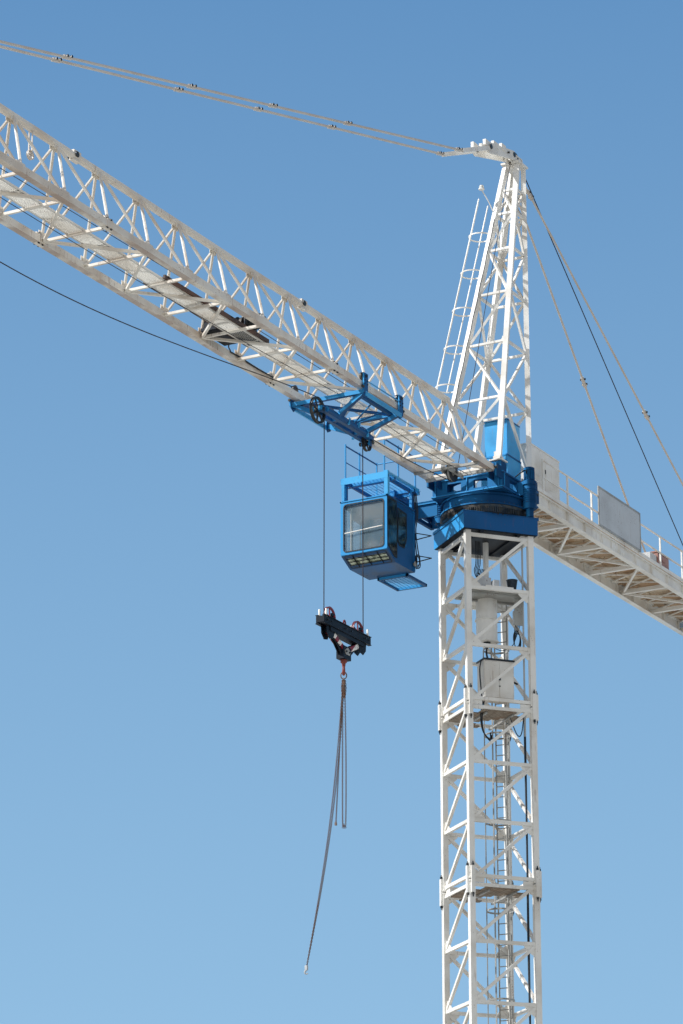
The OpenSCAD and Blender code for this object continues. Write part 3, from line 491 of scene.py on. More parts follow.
def mixed(tree, share, a, b):
    """Colour a where share is 0 and colour b where it is 1."""
    a, b = (linear(c) if isinstance(c, str) else c for c in (a, b))
    a, b = ((*c, 1) if isinstance(c, tuple) else c for c in (a, b))
    return add_node(tree, "ShaderNodeMix", {"data_type": "RGBA"}, i0=share, i6=a, i7=b).outputs[2]


def upward(tree, low=0.3, high=0.9):
    """1 on faces that look up, where dirt and rust gather."""
    normal = add_node(tree, "ShaderNodeNewGeometry").outputs["Normal"]
    z = add_node(tree, "ShaderNodeSeparateXYZ", Vector=normal).outputs[2]
    return add_node(tree, "ShaderNodeMapRange", Value=z, From_Min=low, From_Max=high).outputs[0]


def coated(tree, shader, base, height=None, depth=0.0):
    """Links the colour and, where a height is given, small relief of a depth in metres."""
    tree.links.new(base, shader.inputs["Base Color"])
    if height:
        made = add_node(tree, "ShaderNodeBump", Height=height, Distance=depth, Strength=0.6)
        tree.links.new(made.outputs[0], shader.inputs["Normal"])


def facing(tree, toward, low, high):
    """1 on faces that look along a direction of the piece's own axes: their normal times the direction."""
    normal = add_node(tree, "ShaderNodeTexCoord").outputs["Normal"]
    dot = add_node(
        tree, "ShaderNodeVectorMath", {"operation": "DOT_PRODUCT"}, i0=normal, i1=toward
    ).outputs[1]
    return add_node(tree, "ShaderNodeMapRange", Value=dot, From_Min=low, From_Max=high).outputs[0]


def painted_steel(
    name, paint, grime, rust, dirt, runs, chips, on_top, rough=0.42, sunlit_colour=None, below=0.0, gloss=0.5,
    under=None,
):
    """Brush-painted structural steel: enamel faded in patches 500 mm across, lighter on the side that faces
    the sun as a painted highlight, with dirt where it looks up, patches of the under colour where it looks
    down, rust runs 30 mm wide and chips 15 mm across that show rust."""
    rust = linear(rust) if isinstance(rust, str) else rust
    tree, shader = finish(name, Metallic=0.0, IOR=1.5, Specular_IOR_Level=gloss)
    where = place(tree)
    broad = speckle(tree, where, 0.5, 4.0, 0.42, 0.66)
    base = mixed(tree, times(tree, broad, dirt), paint, grime)
    # Painted highlight: faces turned toward the sun, along (0.6, -0.56, 0.57), are mixed toward the lighter
    # sunlit colour.
    if sunlit_colour:
        base = mixed(tree, facing(tree, (0.6, -0.56, 0.57), 0.2, 0.62), base, sunlit_colour)
    # Faces that look down take the under colour in patches: rust on the chords and floor plates, and on the
    # blue paint a dark grey-brown that is painted shade together with grime.
    if below:
        downward_patches = times(tree, facing(tree, (0, 0, -1), 0.5, 0.9), speckle(tree, where, 0.4, 3.0, 0.36, 0.56))
        base = mixed(tree, times(tree, downward_patches, below), base, under or rust)
    top = times(tree, upward(tree), speckle(tree, where, 0.09, 4.0, 0.36, 0.62))
    base = mixed(tree, times(tree, top, on_top), base, rust)
    streak = speckle(tree, place(tree, (1, 1, 0.1)), 0.03, 5.0, 0.55, 0.72)
    streak = times(tree, streak, speckle(tree, where, 0.35, 2.0, 0.5, 0.66))
    base = mixed(tree, times(tree, streak, runs), base, rust)
    chip = speckle(tree, where, 0.015, 5.0, chips, chips + 0.05)
    chip = times(tree, chip, speckle(tree, where, 0.22, 2.0, 0.46, 0.6))
    base = mixed(tree, chip, base, tuple(c * 0.7 for c in rust))
    gloss = add_node(tree, "ShaderNodeMapRange", Value=streak, To_Min=rough, To_Max=0.8).outputs[0]
    tree.links.new(gloss, shader.inputs["Roughness"])
    grain = add_node(tree, "ShaderNodeTexNoise", Vector=where, Scale=1 / 0.008, Detail=3.0).outputs["Fac"]
    coated(tree, shader, base, grain, 0.0006)


class CraneColours(bpy.types.PropertyGroup):
    """Paints and metals of the crane."""

    white: colour("White enamel", "#F2F0EA", "Paint of the mast, head and counter-jib")
    white_grime: colour("White grime", "#C2B7A6", "Weathered patches of the white paint")
    cream: colour("Cream enamel", "#EAE4D9", "Paint of the jib's chords")
    cream_grime: colour("Cream grime", "#C4AF98", "Weathered patches of the cream paint")
    rust: colour("Rust", "#7E5137", "Rust runs, chips and dirt on upper faces")
    # Set darker than the paint itself, as it looks in shade: painted shade. Sunlit faces and parts get
    # lighter painted blues.
    blue: colour("Blue enamel", "#155891", "Paint of the slewing top, cab and trolley")
    blue_grime: colour("Blue grime", "#164A75", "Weathered patches of the blue paint")
    # Painted light: a sunlit copy of the blue paint, used on the head housing, platform fascia, gratings and
    # trolley side rails.
    light_blue: colour("Light blue enamel", "#3FA9E2", "Paint of the window frames and head housing")
    dark: colour("Dark steel", "#131820", "Greased cast and rolled steel")
    rope: colour("Wire rope", "#3B2A28", "Greased wire rope")
    chain: colour("Chain steel", "#7D6B61", "Bare chain with surface rust")
    hook_red: colour("Hook paint", "#8F4236", "Worn primer red of the hook and shank")
    sheave_red: colour("Sheave paint", "#841C28", "Red paint of the block's sheaves")
    wood: colour("Old plank", "#9C8F80", "Weathered planks of the rest floors")
    plate: colour("Floor plate", "#D8C9B2", "Rusty floor plates of the counter-jib")
    vinyl: colour("Seat vinyl", "#9A3B32", "Covering of the driver's seat")
    sky: colour("Low sky", "#92BEE2", "Backdrop toward the horizon")
    high_sky: colour("High sky", "#6292C3", "Backdrop overhead")
    floor: colour("Stage floor", "#A3A39F", "Plain pale stage floor")


class CraneSizes(bpy.types.PropertyGroup):
    """Sizes of the fittings."""

    plank_width: length("Plank width", 0.098, "Width of a rest floor's plank")
    joint_bolt: length("Joint bolt", 0.018, "Diameter of the bolts through a mast joint's sleeves")
    gusset: length("Gusset", 0.15, "Length of a gusset plate along the leg")
    tooth_count: IntProperty(name="Teeth", description="Teeth of the slewing ring", default=126, min=24)
    rope: length("Rope diameter", 0.0135, "Diameter of the hoist and trolley ropes")
    sag: length("Rope sag", 0.775, "Sag of the rope between trolley and jib end")
    mesh_pitch: length("Grating pitch", 0.03, "Distance between the bars of the walkway grating")
    link: length("Link pitch", 0.022, "Inner length of a sling chain's link")
    cable: length("Cable diameter", 0.022, "Diameter of the electric cables")


def paints():
    """The crane's colours in this scene."""
    return bpy.context.scene.crane_colours


def sizes():
    """The crane's sizes in this scene."""
    return bpy.context.scene.crane_sizes


def shades(*names):
    """The named colours as plain tuples."""
    return [tuple(getattr(paints(), n)) for n in names]


def finishes_greased():
    """Cast and machined steel under old grease: dark, with duller dust patches 80 mm across."""
    tree, shader = finish("greased_steel", Metallic=0.75)
    where = place(tree)
    dust = speckle(tree, where, 0.08, 4.0, 0.42, 0.65)
    base = mixed(tree, dust, "#34373B", "#5B564F")
    dull = add_node(tree, "ShaderNodeMapRange", Value=dust, To_Min=0.32, To_Max=0.7).outputs[0]
    tree.links.new(dull, shader.inputs["Roughness"])
    coated(tree, shader, base, dust, 0.0008)


def finishes_ropes_and_chain():
    """Stranded wire rope, its lay drawn as slanted bands whose darker half is painted shade in the grooves
    between strands, and chain steel with rust patches of 50 mm.
    """
    tree, shader = finish("wire_rope", Metallic=0.2, Roughness=0.6)
    where = place(tree, (1, 1, 1), (0.5, 0.6, 0.0))
    lay = add_node(tree, "ShaderNodeTexWave", {"bands_direction": "DIAGONAL"}, Vector=where, Scale=1 / 0.06)
    (rope,) = shades("rope")
    # Painted shade: the lay's bands run from 0.45 of the rope colour in the grooves to the full colour.
    coated(
        tree, shader, mixed(tree, lay.outputs[1], tuple(c * 0.45 for c in rope), rope),
        lay.outputs[1], 0.002
    )
    tree, shader = finish("chain_steel", Metallic=0.3, Roughness=0.6)
    (chain,) = shades("chain")
    rusty = speckle(tree, place(tree), 0.05, 5.0, 0.4, 0.62)
    coated(tree, shader, mixed(tree, rusty, chain, "#7B5A48"), rusty, 0.0006)


def finishes_wood():
    """Weathered softwood planks: grain lines 12 mm apart drawn out along the plank, with rust stains."""
    tree, shader = finish("old_planks", Roughness=0.85)
    where = place(tree, (0.06, 1, 1), (0, 0, -TURN))
    grain = speckle(tree, where, 0.012, 4.0, 0.35, 0.7)
    (wood,) = shades("wood")
    base = mixed(tree, grain, wood, "#6A5D50")
    base = mixed(tree, speckle(tree, place(tree), 0.3, 3.0, 0.5, 0.7), base, "#8A715C")
    coated(tree, shader, base, grain, 0.0015)


def finishes_glass_and_plastics():
    """Toughened glass, moulded rubber and plastic, and embossed seat vinyl."""
    tree, shader = finish("cab_glass", Roughness=0.04, IOR=1.45, Alpha=0.22)
    film = speckle(tree, place(tree), 0.35, 3.0, 0.4, 0.7)
    coated(tree, shader, mixed(tree, film, "#8FA9B5", "#B9C6CB"))
    tree, shader = finish("lower_glass", Roughness=0.2, IOR=1.45, Alpha=0.9)
    film = speckle(tree, place(tree), 0.09, 4.0, 0.42, 0.6)
    coated(tree, shader, mixed(tree, film, "#D6DFC6", "#8C957C"))
    # The near side panes: nearly opaque and dark with paler patches, a painted view of the shaded cab inside
    # and painted reflection in place of seeing through, with olive streaks over it.
    tree, shader = finish("side_glass", Roughness=0.1, IOR=1.5, Alpha=0.85)
    view = speckle(tree, place(tree), 0.16, 3.0, 0.46, 0.56)
    base = mixed(tree, view, "#1A2429", "#33474D")
    base = mixed(tree, speckle(tree, place(tree, (1, 1, 0.4)), 0.07, 3.0, 0.58, 0.66), base, "#3F4630")
    coated(tree, shader, base)
    tree, shader = finish("lamp_glass", Roughness=0.12, IOR=1.5)
    rings = add_node(tree, "ShaderNodeTexNoise", Vector=place(tree), Scale=1 / 0.02).outputs[0]
    coated(tree, shader, mixed(tree, rings, "#E8E6DA", "#BFC3C4"))
    for name, low, high, rough in (
        ("black_rubber", "#17181A", "#2C2C2D", 0.6),
        ("black_plastic", "#1B1D20", "#33363A", 0.45),
    ):
        tree, shader = finish(name, Roughness=rough)
        worn = speckle(tree, place(tree), 0.04, 3.0, 0.4, 0.7)
        coated(tree, shader, mixed(tree, worn, linear(low), linear(high)), worn, 0.0005)
    tree, shader = finish("riser_cable", Roughness=0.6)
    height = add_node(tree, "ShaderNodeSeparateXYZ", Vector=place(tree)).outputs[2]
    duct = add_node(
        tree, "ShaderNodeMapRange", Value=height, From_Min=TOP_JOINT - 0.4, From_Max=TOP_JOINT - 0.395
    ).outputs[0]
    coated(tree, shader, mixed(tree, duct, "#1B1D20", "#B9BCBC"))
    tree, shader = finish("seat_vinyl", Roughness=0.55)
    hide = add_node(tree, "ShaderNodeTexVoronoi", Vector=place(tree), Scale=1 / 0.006).outputs[0]
    worn = speckle(tree, place(tree), 0.12, 3.0, 0.45, 0.7)
    coated(tree, shader, mixed(tree, worn, shades("vinyl")[0], "#6E2A25"), hide, 0.0008)


def finishes_hazard(white):
    """Warning stripes: red and white bands 70 mm wide, slanted 45 degrees, scuffed to dark metal."""
    tree, shader = finish("warning_stripes", Roughness=0.5)
    where = place(tree, (1, 1, 1), (0, math.radians(45), 0))
    x = add_node(tree, "ShaderNodeSeparateXYZ", Vector=where).outputs[0]
    saw = add_node(tree, "ShaderNodeMath", {"operation": "PINGPONG"}, i0=x, i1=0.07).outputs[0]
    band = add_node(tree, "ShaderNodeMath", {"operation": "GREATER_THAN"}, i0=saw, i1=0.035).outputs[0]
    base = mixed(tree, band, white, "#8C1E2C")
    scuff = speckle(tree, place(tree), 0.04, 5.0, 0.56, 0.66)
    base = mixed(tree, scuff, base, "#3A2C28")
    coated(tree, shader, base, scuff, 0.0006)


class CRANE_OT_finishes(bpy.types.Operator):
    """Makes the finishes and paints the nodes that keep their shape"""

    bl_idname = "crane.finishes"
    bl_label = "Finishes"

    def execute(self, context):
        white, white_grime, cream, cream_grime, rust = shades(
            "white", "white_grime", "cream", "cream_grime", "rust"
        )
        blue, blue_grime, light_blue, dark = shades("blue", "blue_grime", "light_blue", "dark")
        painted_steel("white_enamel", white, white_grime, rust, 0.45, 0.4, 0.66, 0.3)
        painted_steel("cream_enamel", cream, cream_grime, rust, 0.5, 0.5, 0.65, 0.4)
        painted_steel("chord_enamel", cream, cream_grime, rust, 0.6, 0.6, 0.62, 0.5, below=0.5)
        painted_steel("bar_enamel", "#D6CEC4", "#C4B5A6", rust, 0.5, 0.15, 0.7, 0.1)
        # The blue paint in its painted-shade tone, with a painted highlight on faces toward the sun.
        painted_steel(
            "blue_enamel", blue, blue_grime, rust, 0.5, 0.18, 0.66, 0.1, 0.4, "#3899D6", 0.45,
            0.2, "#45463F"
        )
        # Painted shade: a darker copy of the blue paint for the turntable, gear housings, drum flanges and
        # platform braces, still lighter on its side toward the sun.
        shade_copies = [tuple(c * 0.55 for c in shade) for shade in (blue, blue_grime)]
        painted_steel("shaded_enamel", *shade_copies, rust, 0.5, 0.18, 0.66, 0.1, 0.5, "#2877AE", gloss=0.1)
        # Painted light: the sunlit copy of the blue paint.
        painted_steel("light_blue_enamel", light_blue, blue, rust, 0.35, 0.2, 0.66, 0.1, 0.34)
        painted_steel("grey_enamel", "#A9A9A4", "#7F7C76", rust, 0.6, 0.5, 0.58, 0.5)
        painted_steel("sign_enamel", "#C9CDD0", "#A8A9A8", rust, 0.4, 0.3, 0.63, 0.1)
        painted_steel("brick_enamel", "#A37566", "#8C6357", rust, 0.6, 0.4, 0.6, 0.4)
        painted_steel("dark_enamel", dark, "#242B36", "#54483F", 0.5, 0.2, 0.63, 0.15, 0.5, gloss=0.2)
        painted_steel("red_enamel", *shades("sheave_red"), "#641A20", rust, 0.6, 0.4, 0.56, 0.4)
        painted_steel("hook_primer", *shades("hook_red"), "#7A4033", dark, 0.7, 0.6, 0.52, 0.4, 0.55)
        painted_steel(
            "floor_plate", *shades("plate"), "#B8997A", rust, 0.7, 0.9, 0.57, 0.5, 0.7, below=0.7,
            under="#A47A50"
        )
        painted_steel("rusty_steel", "#4A3A33", "#6B4A38", dark, 0.8, 0.6, 0.55, 0.3, 0.7)
        # Dark grey-brown for the cab's underside plate: painted shade together with grime.
        painted_steel("underside", "#45464A", "#3B352F", dark, 0.7, 0.5, 0.6, 0.0, 0.9, gloss=0.08)
        finishes_greased()
        finishes_ropes_and_chain()
        finishes_wood()
        finishes_glass_and_plastics()
        finishes_hazard(white)
        for nodes, name in CAD_FINISHES.items():
            for node in nodes.split():
                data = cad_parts[node].data
                data.materials.clear()
                data.materials.append(FINISHES[name])
        return {"FINISHED"}


CAD_FINISHES = {
    "base_cross": "grey_enamel",
    "mast_legs mast_sides_a mast_sides_b collector_column": "white_enamel",
    "mast_ladder root_sheave jib_tip": "grey_enamel",
    "mast_cabinet electrical_cabinet counter_jib_railings head_legs": "white_enamel",
    "head_side_lacing head_face_lacing head_apex head_ladder pendant_links": "white_enamel",
    "counter_jib_beams": "white_enamel",
    "jib_pendants rear_pendants": "bar_enamel",
    "jib_bottom_chords": "chord_enamel",
    "jib_top_chord jib_side_lacing jib_bottom_lacing jib_walkway": "cream_enamel",
    "power_cable": "riser_cable",
    "mast_collar hoist_winch counterweights": "blue_enamel",
    # The turntable and gears take the darker copy of the blue: painted shade.
    "turntable slewing_gear": "shaded_enamel",
    "cab_platform cab_body cab_step trolley_frame": "blue_enamel",
    "head_housing": "light_blue_enamel",
    "slewing_ring trolley_wheels trolley_sheaves trolley_winch": "greased_steel",
    "block_beam block_arms": "dark_enamel",
    "block_sheaves": "red_enamel",
    "hook": "hook_primer",
    "chain_slings": "chain_steel",
    "hoist_rope rope_falls": "wire_rope",
    "rest_platforms": "old_planks",
    "counter_jib_floor": "floor_plate",
    "sign_panel": "sign_enamel",
    "ballast_box": "brick_enamel",
    "cab_glass": "cab_glass",
    "cab_seat": "seat_vinyl",
}


def stage_floor(scene):
    """A round disc of 60 m: r (cos t, sin t) at the ground, in rings that widen outward."""
    r = np.array([0.0, 5, 15, 60])[:, None]
    ring = circle(64)
    points = np.concatenate([r[:, :, None] * ring[None], np.full((4, 64, 1), -0.002)], 2).reshape(-1, 3)
    mesh = bpy.data.meshes.new("stage_floor")
    mesh.from_pydata(points[64:].tolist(), [], grid_faces(3, 64)[0].tolist() + [list(range(64))])
    tree, shader = finish("stage_floor", Roughness=0.9)
    pale = speckle(tree, place(tree), 3.0, 2.0, 0.3, 0.7)
    (floor,) = shades("floor")
    coated(tree, shader, mixed(tree, pale, floor, tuple(c * 0.96 for c in floor)))
    mesh.materials.append(FINISHES["stage_floor"])
    piece = bpy.data.objects.new("stage_floor", mesh)
    scene.collection.objects.link(piece)


def stage_backdrop(scene):
    """A plain world: a sky that deepens upward for camera, mirror and glass rays, and plain light."""
    world = bpy.data.worlds.new("backdrop")
    scene.world = world
    world.use_nodes = True
    tree = world.node_tree
    tree.nodes.clear()
    light = add_node(tree, "ShaderNodeBackground", Color=(0.9, 0.94, 1, 1), Strength=0.4)
    toward = add_node(tree, "ShaderNodeTexCoord").outputs["Generated"]
    height = add_node(tree, "ShaderNodeSeparateXYZ", Vector=toward).outputs[2]
    height = add_node(tree, "ShaderNodeMapRange", Value=height, From_Min=0.16, From_Max=0.46).outputs[0]
    seen = add_node(
        tree, "ShaderNodeBackground", Color=mixed(tree, height, *shades("sky", "high_sky")), Strength=1.0
    )
    path = add_node(tree, "ShaderNodeLightPath")
    rays = [path.outputs[n] for n in ("Is Camera Ray", "Is Glossy Ray", "Is Transmission Ray")]
    share = add_node(tree, "ShaderNodeMath", {"operation": "MAXIMUM"}, i0=rays[0], i1=rays[1]).outputs[0]
    share = add_node(tree, "ShaderNodeMath", {"operation": "MAXIMUM"}, i0=share, i1=rays[2]).outputs[0]
    mix = add_node(tree, "ShaderNodeMixShader", i0=share, i1=light.outputs[0], i2=seen.outputs[0])
    out = add_node(tree, "ShaderNodeOutputWorld")
    tree.links.new(mix.outputs[0], out.inputs[0])


class CRANE_OT_stage(bpy.types.Operator):
    """Sets the camera, the plain floor, the soft lamps and the plain backdrop"""

    bl_idname = "crane.stage"
    bl_label = "Stage"

    def execute(self, context):
        scene = context.scene
        data = bpy.data.cameras.new("photo_camera")
        data.sensor_width = 36.0
        data.lens = 36.0 * 3390.5 / 1024
        data.clip_end = 500.0
        camera = bpy.data.objects.new("photo_camera", data)
        scene.collection.objects.link(camera)
        scene.camera = camera
        camera.location = (41.17, 20.55, 0.79)
        side, rise = math.radians(29.08), math.radians(18.226)
        camera.rotation_euler = (math.pi / 2 + rise, 0, side + math.pi / 2)
        for name, strength, angle, turn in (
            ("sun", 4.7, 1.0, (47, 0, 44)), ("fill", 0.22, 60.0, (60, 0, 130))
        ):
            lamp = bpy.data.lights.new(name, "SUN")
            lamp.energy = strength
            lamp.angle = math.radians(angle)
            light = bpy.data.objects.new(name, lamp)
            light.rotation_euler = tuple(math.radians(t) for t in turn)
            scene.collection.objects.link(light)
        stage_floor(scene)
        stage_backdrop(scene)
        scene.view_settings.view_transform = "Standard"
        return {"FINISHED"}


def mast_joints():
    """Long bolts through the sleeves, and a dark seam between two flanges, on each leg at a joint."""
    sx, sy, zz = (a.ravel() for a in np.meshgrid([-1, 1], [-1, 1], JOINTS, indexing="ij"))
    corner = rows(sx * HALF_MAST, sy * HALF_MAST, zz)
    out = 0.04 + 0.019
    at = np.concatenate([corner + rows(sx * out, 0, 0), corner + rows(0, sy * out, 0)])
    width = sizes().joint_bolt
    shank = bars(at - Z * 0.245, at + Z * 0.245, width * 0.8, 8)
    nuts = [
        bars(at + Z * (s * 0.205 - 0.014), at + Z * (s * 0.205 + 0.014), width * 1.7, 6) for s in (-1, 1)
    ]
    put("mast_joint_bolts", [shank, *nuts], "greased_steel", "tower", turn=TURN)
    seam = boxes(corner - (0.0415, 0.0415, 0.004), corner + (0.0415, 0.0415, 0.004))
    caps = [
        boxes(corner - (0.05, 0.05, 0.032), corner + (0.05, 0.05, -0.012)),
        boxes(corner - (0.05, 0.05, -0.012), corner + (0.05, 0.05, 0.032)),
    ]
    put("mast_joint_seams", [seam], "dark_enamel", "tower", turn=TURN)
    put("mast_joint_flanges", caps, "white_enamel", "tower", bevel=0.003, turn=TURN)


def mast_gussets():
    """Five-sided plates in the plane of each side, where a diagonal leaves a leg."""
    g = sizes().gusset
    outline = np.array([[0, -0.03], [0, g], [-0.03, g], [-g, 0.045], [-g, -0.03]])
    parts = []
    for k in range(18):
        z = BASE + k * PANEL
        for x, sign, level in ((HALF_MAST - 0.04, 1, z), (-HALF_MAST + 0.04, -1, z + PANEL)):
            parts.append(prism(outline * (sign, sign), (x, HALF_MAST, level), X, Z, 0.012))
    points, faces = joined(parts)
    points[points[:, 2] > MAST_TOP + 0.02, 2] = MAST_TOP
    put(
        "mast_gussets", [moved((points, faces), TURN + a * math.pi / 2) for a in range(4)],
        "white_enamel", "tower"
    )


def mast_floors():
    """Planks of each rest floor, cut at the corners and round the climbing hole, on two angle bars."""
    w = sizes().plank_width
    edge, thick = 0.4765, 0.018
    lo, hi = [], []
    for y0 in np.arange(-edge, edge - w * 0.5, w + 0.004):
        y1 = min(y0 + w, edge)
        side = 0.285 if max(abs(y0), abs(y1)) > 0.2875 else edge
        right = max(min(y1 - 0.09, 0.35 - y0), -side) if y1 > -0.117 else -side
        left = -0.35 - y1
        if right > -side and left > -side + 0.06:
            lo.append((-side, y0, 0))
            hi.append((left, y1, thick))
        lo.append((right, y0, 0))
        hi.append((side, y1, thick))
    one = boxes(lo, hi)
    tops = JOINTS - 0.0853 - thick
    planks = joined([(one[0] + Z * z, one[1]) for z in tops])
    put(
        "rest_floor_planks", [planks], "old_planks", "tower", stands_for=["rest_platforms"],
        bevel=0.003, turn=TURN
    )
    angle = [block((0, s * 0.2, z - 0.015), (0.86, 0.03, 0.028)) for z in tops for s in (-1, 1)]
    put("rest_floor_angles", angle, "grey_enamel", "tower", bevel=0.003, turn=TURN)


def mast_control_gear():
    """White cabinet with a black lid, slip-ring column with flanges, small boxes and the pail."""
    z = TOP_JOINT - 0.085
    shell = [boxes((0.11, -0.2, z + 0.2), (0.36, 0.25, z + 0.75))]
    shell += [
        boxes((0.36, -0.19 + k * 0.218, z + 0.215), (0.368, 0.02 + k * 0.218, z + 0.735)) for k in (0, 1)
    ]
    shell += [boxes((0.22, -0.16 + 0.34 * k, z), (0.25, -0.12 + 0.34 * k, z + 0.21)) for k in (0, 1)]
    put(
        "mast_cabinet_shell", shell, "white_enamel", "tower", stands_for=["mast_cabinet"],
        bevel=0.004, turn=TURN
    )
    lid = [
        boxes((0.098, -0.212, z + 0.75), (0.376, 0.262, z + 0.775)),
        block((0.372, 0.03, z + 0.5), (0.016, 0.03, 0.07)),
        block((0.372, 0.03, z + 0.38), (0.012, 0.02, 0.02)),
        hose(
            [
                (0.3, -0.215, z + 0.76), (0.32, -0.25, z + 0.6), (0.34, -0.24, z + 0.3),
                (0.3, -0.2, z + 0.12)
            ],
            14, 0.011
        ),
    ]
    put("mast_cabinet_lid", lid, "black_plastic", "tower", bevel=0.006, turn=TURN)
    top = MAST_TOP - PANEL
    rim = [
        lathe(flat_ring(0.152, 0.168, h, h + 0.014), (0, 0, top), Z, 32, True)
        for h in (-0.645, -0.33, -0.016)
    ]
    t = np.arange(10) * math.pi / 5
    ring = rows(0.16 * np.cos(t), 0.16 * np.sin(t), top)
    studs = [copies(bolt(0.008, 0.012), ring + Z * h) for h in (-0.316, -0.002)]
    put("collector_flanges", [*rim, *studs], "white_enamel", "tower")
    gland = [
        lathe([[0.05, -0.66], [0.05, -0.64], [0.03, -0.7]][::-1], (0, 0, top), Z, 16),
        hose(
            [(0, 0, top - 0.69), (0, 0, top - 0.85), (0.1, 0.1, top - 1.1), (0.3, 0.33, top - 1.3)],
            24, 0.014, 8
        ),
    ]
    put("collector_cable", gland, "black_rubber", "tower", turn=TURN)
    deck = top + 0.0473
    pail = lathe(
        [[0.056, 0], [0.078, 0.155], [0.084, 0.16], [0.076, 0.162], [0.054, 0.006]], (0.32, 0.26, deck),
        Z, 20
    )
    put("pail", [pail], "black_plastic", "tower", turn=TURN)
    kit = [
        block((0.2, -0.14, deck + 0.09), (0.16, 0.2, 0.18)),
        block((0.28, 0.02, deck + 0.07), (0.12, 0.09, 0.14)),
        block((0.33, 0.33, top - 0.34), (0.07, 0.12, 0.2)),
    ]
    shelf = [
        boxes((-0.1, -0.44, top - 0.03), (0.43, 0.44, top)),
        boxes((0.36, 0.27, top - 0.46), (0.375, 0.39, top)),
    ]
    shelf += [boxes((x, -0.44, top - 0.06), (x + 0.03, 0.44, top - 0.03)) for x in (0.0, 0.36)]
    put("column_shelf", shelf, "grey_enamel", "tower", bevel=0.003, turn=TURN)
    put("small_boxes", kit, "sign_enamel", "tower", bevel=0.006, turn=TURN)


def mast_cables():
    """A thin cable beside the power cable, a bundle under the collar, a coil and low loops."""
    x, y = HALF_MAST - 0.11, HALF_MAST - 0.075
    r = sizes().cable / 2
    z = np.arange(60) / 59 * 11.75 + 1.0
    sway = 0.006 * np.sin(z * 2.1)
    parts = [tube(rows(x - 0.03 + sway, y - sway, z), r * 0.6, 6)]
    hang = [
        (0.3, 0.2, 12.86), (0.32, 0.3, 12.6), (0.34, 0.36, 12.62), (x - 0.03, y, 12.9), (x - 0.03, y, 12.75)
    ]
    parts.append(hose(hang, 30, r * 0.7))
    t = around(24)
    for k in range(4):
        y0 = -0.22 + 0.022 * k
        path = [
            (0.16, y0, 15.42), (0.16, y0, 15.1), (0.17, y0 - 0.03, 14.98), (0.18, y0, 14.88 - 0.02 * k),
            (0.2, y0 + 0.04, 15.0)
        ]
        parts.append(hose(path, 28, r * 0.6))
        coil = rows(0.36 + 0.012 * k, 0.3 + 0.05 * np.cos(t), 13.98 - 0.02 * k + 0.12 * np.sin(t))
        parts.append(tube(coil, r * 0.5, 6, X, True))
        path = [
            (0.35, 0.3 + 0.02 * k, 14.19), (0.36, 0.27 + 0.02 * k, 14.1), (0.35, 0.26, 13.9),
            (0.3, 0.1, 13.8), (0.1, 0.0, 13.92)
        ]
        parts.append(hose(path[: 5 if k == 0 else 3], 20, r * 0.5))
    low = [
        (0.3, -0.2, 13.08), (0.36, -0.26, 12.8), (0.34, -0.22, 12.6), (0.3, -0.1, 12.5), (0.2, -0.05, 12.62)
    ]
    parts += [hose(low, 30, r), hose([(a, b + 0.02, c - 0.03) for a, b, c in low], 30, r * 0.8)]
    put("mast_cable_bundle", parts, "black_rubber", "tower", turn=TURN)


def mast_base():
    """Anchor bolts, stiffener ribs and seat bolts of the base cross."""
    t = np.arange(4) * math.pi / 2 + TURN + math.pi / 4
    at = rows(1.81 * np.cos(t), 1.81 * np.sin(t), 0.03)
    nut = lathe(
        [[0.028, 0], [0.028, 0.006], [0.024, 0.006], [0.024, 0.03], [0.013, 0.031], [0.013, 0.075]], sides=6
    )
    put("anchor_nuts", [copies(nut, at)], "greased_steel", "tower")
    web = [
        mirrored(block((r, 0.125, 0.2), (0.014, 0.025, 0.36))) for r in (0.28, 0.55, 0.82, 1.05, 1.35, 1.6)
    ]
    edge = mirrored(boxes((0.15, 0.08, 0.388), (1.7, 0.14, 0.402)))
    ribs = [moved(rib, a) for a in t for rib in web] + [moved(edge, a) for a in t]
    put("base_ribs", ribs, "grey_enamel", "tower", bevel=0.002)


class CRANE_OT_mast(bpy.types.Operator):
    """Bolts, gussets, rest floors, cabinet, collector and cables of the mast"""

    bl_idname = "crane.mast"
    bl_label = "Mast"

    def execute(self, context):
        mast_joints()
        mast_gussets()
        mast_floors()
        mast_control_gear()
        mast_cables()
        mast_base()
        return {"FINISHED"}


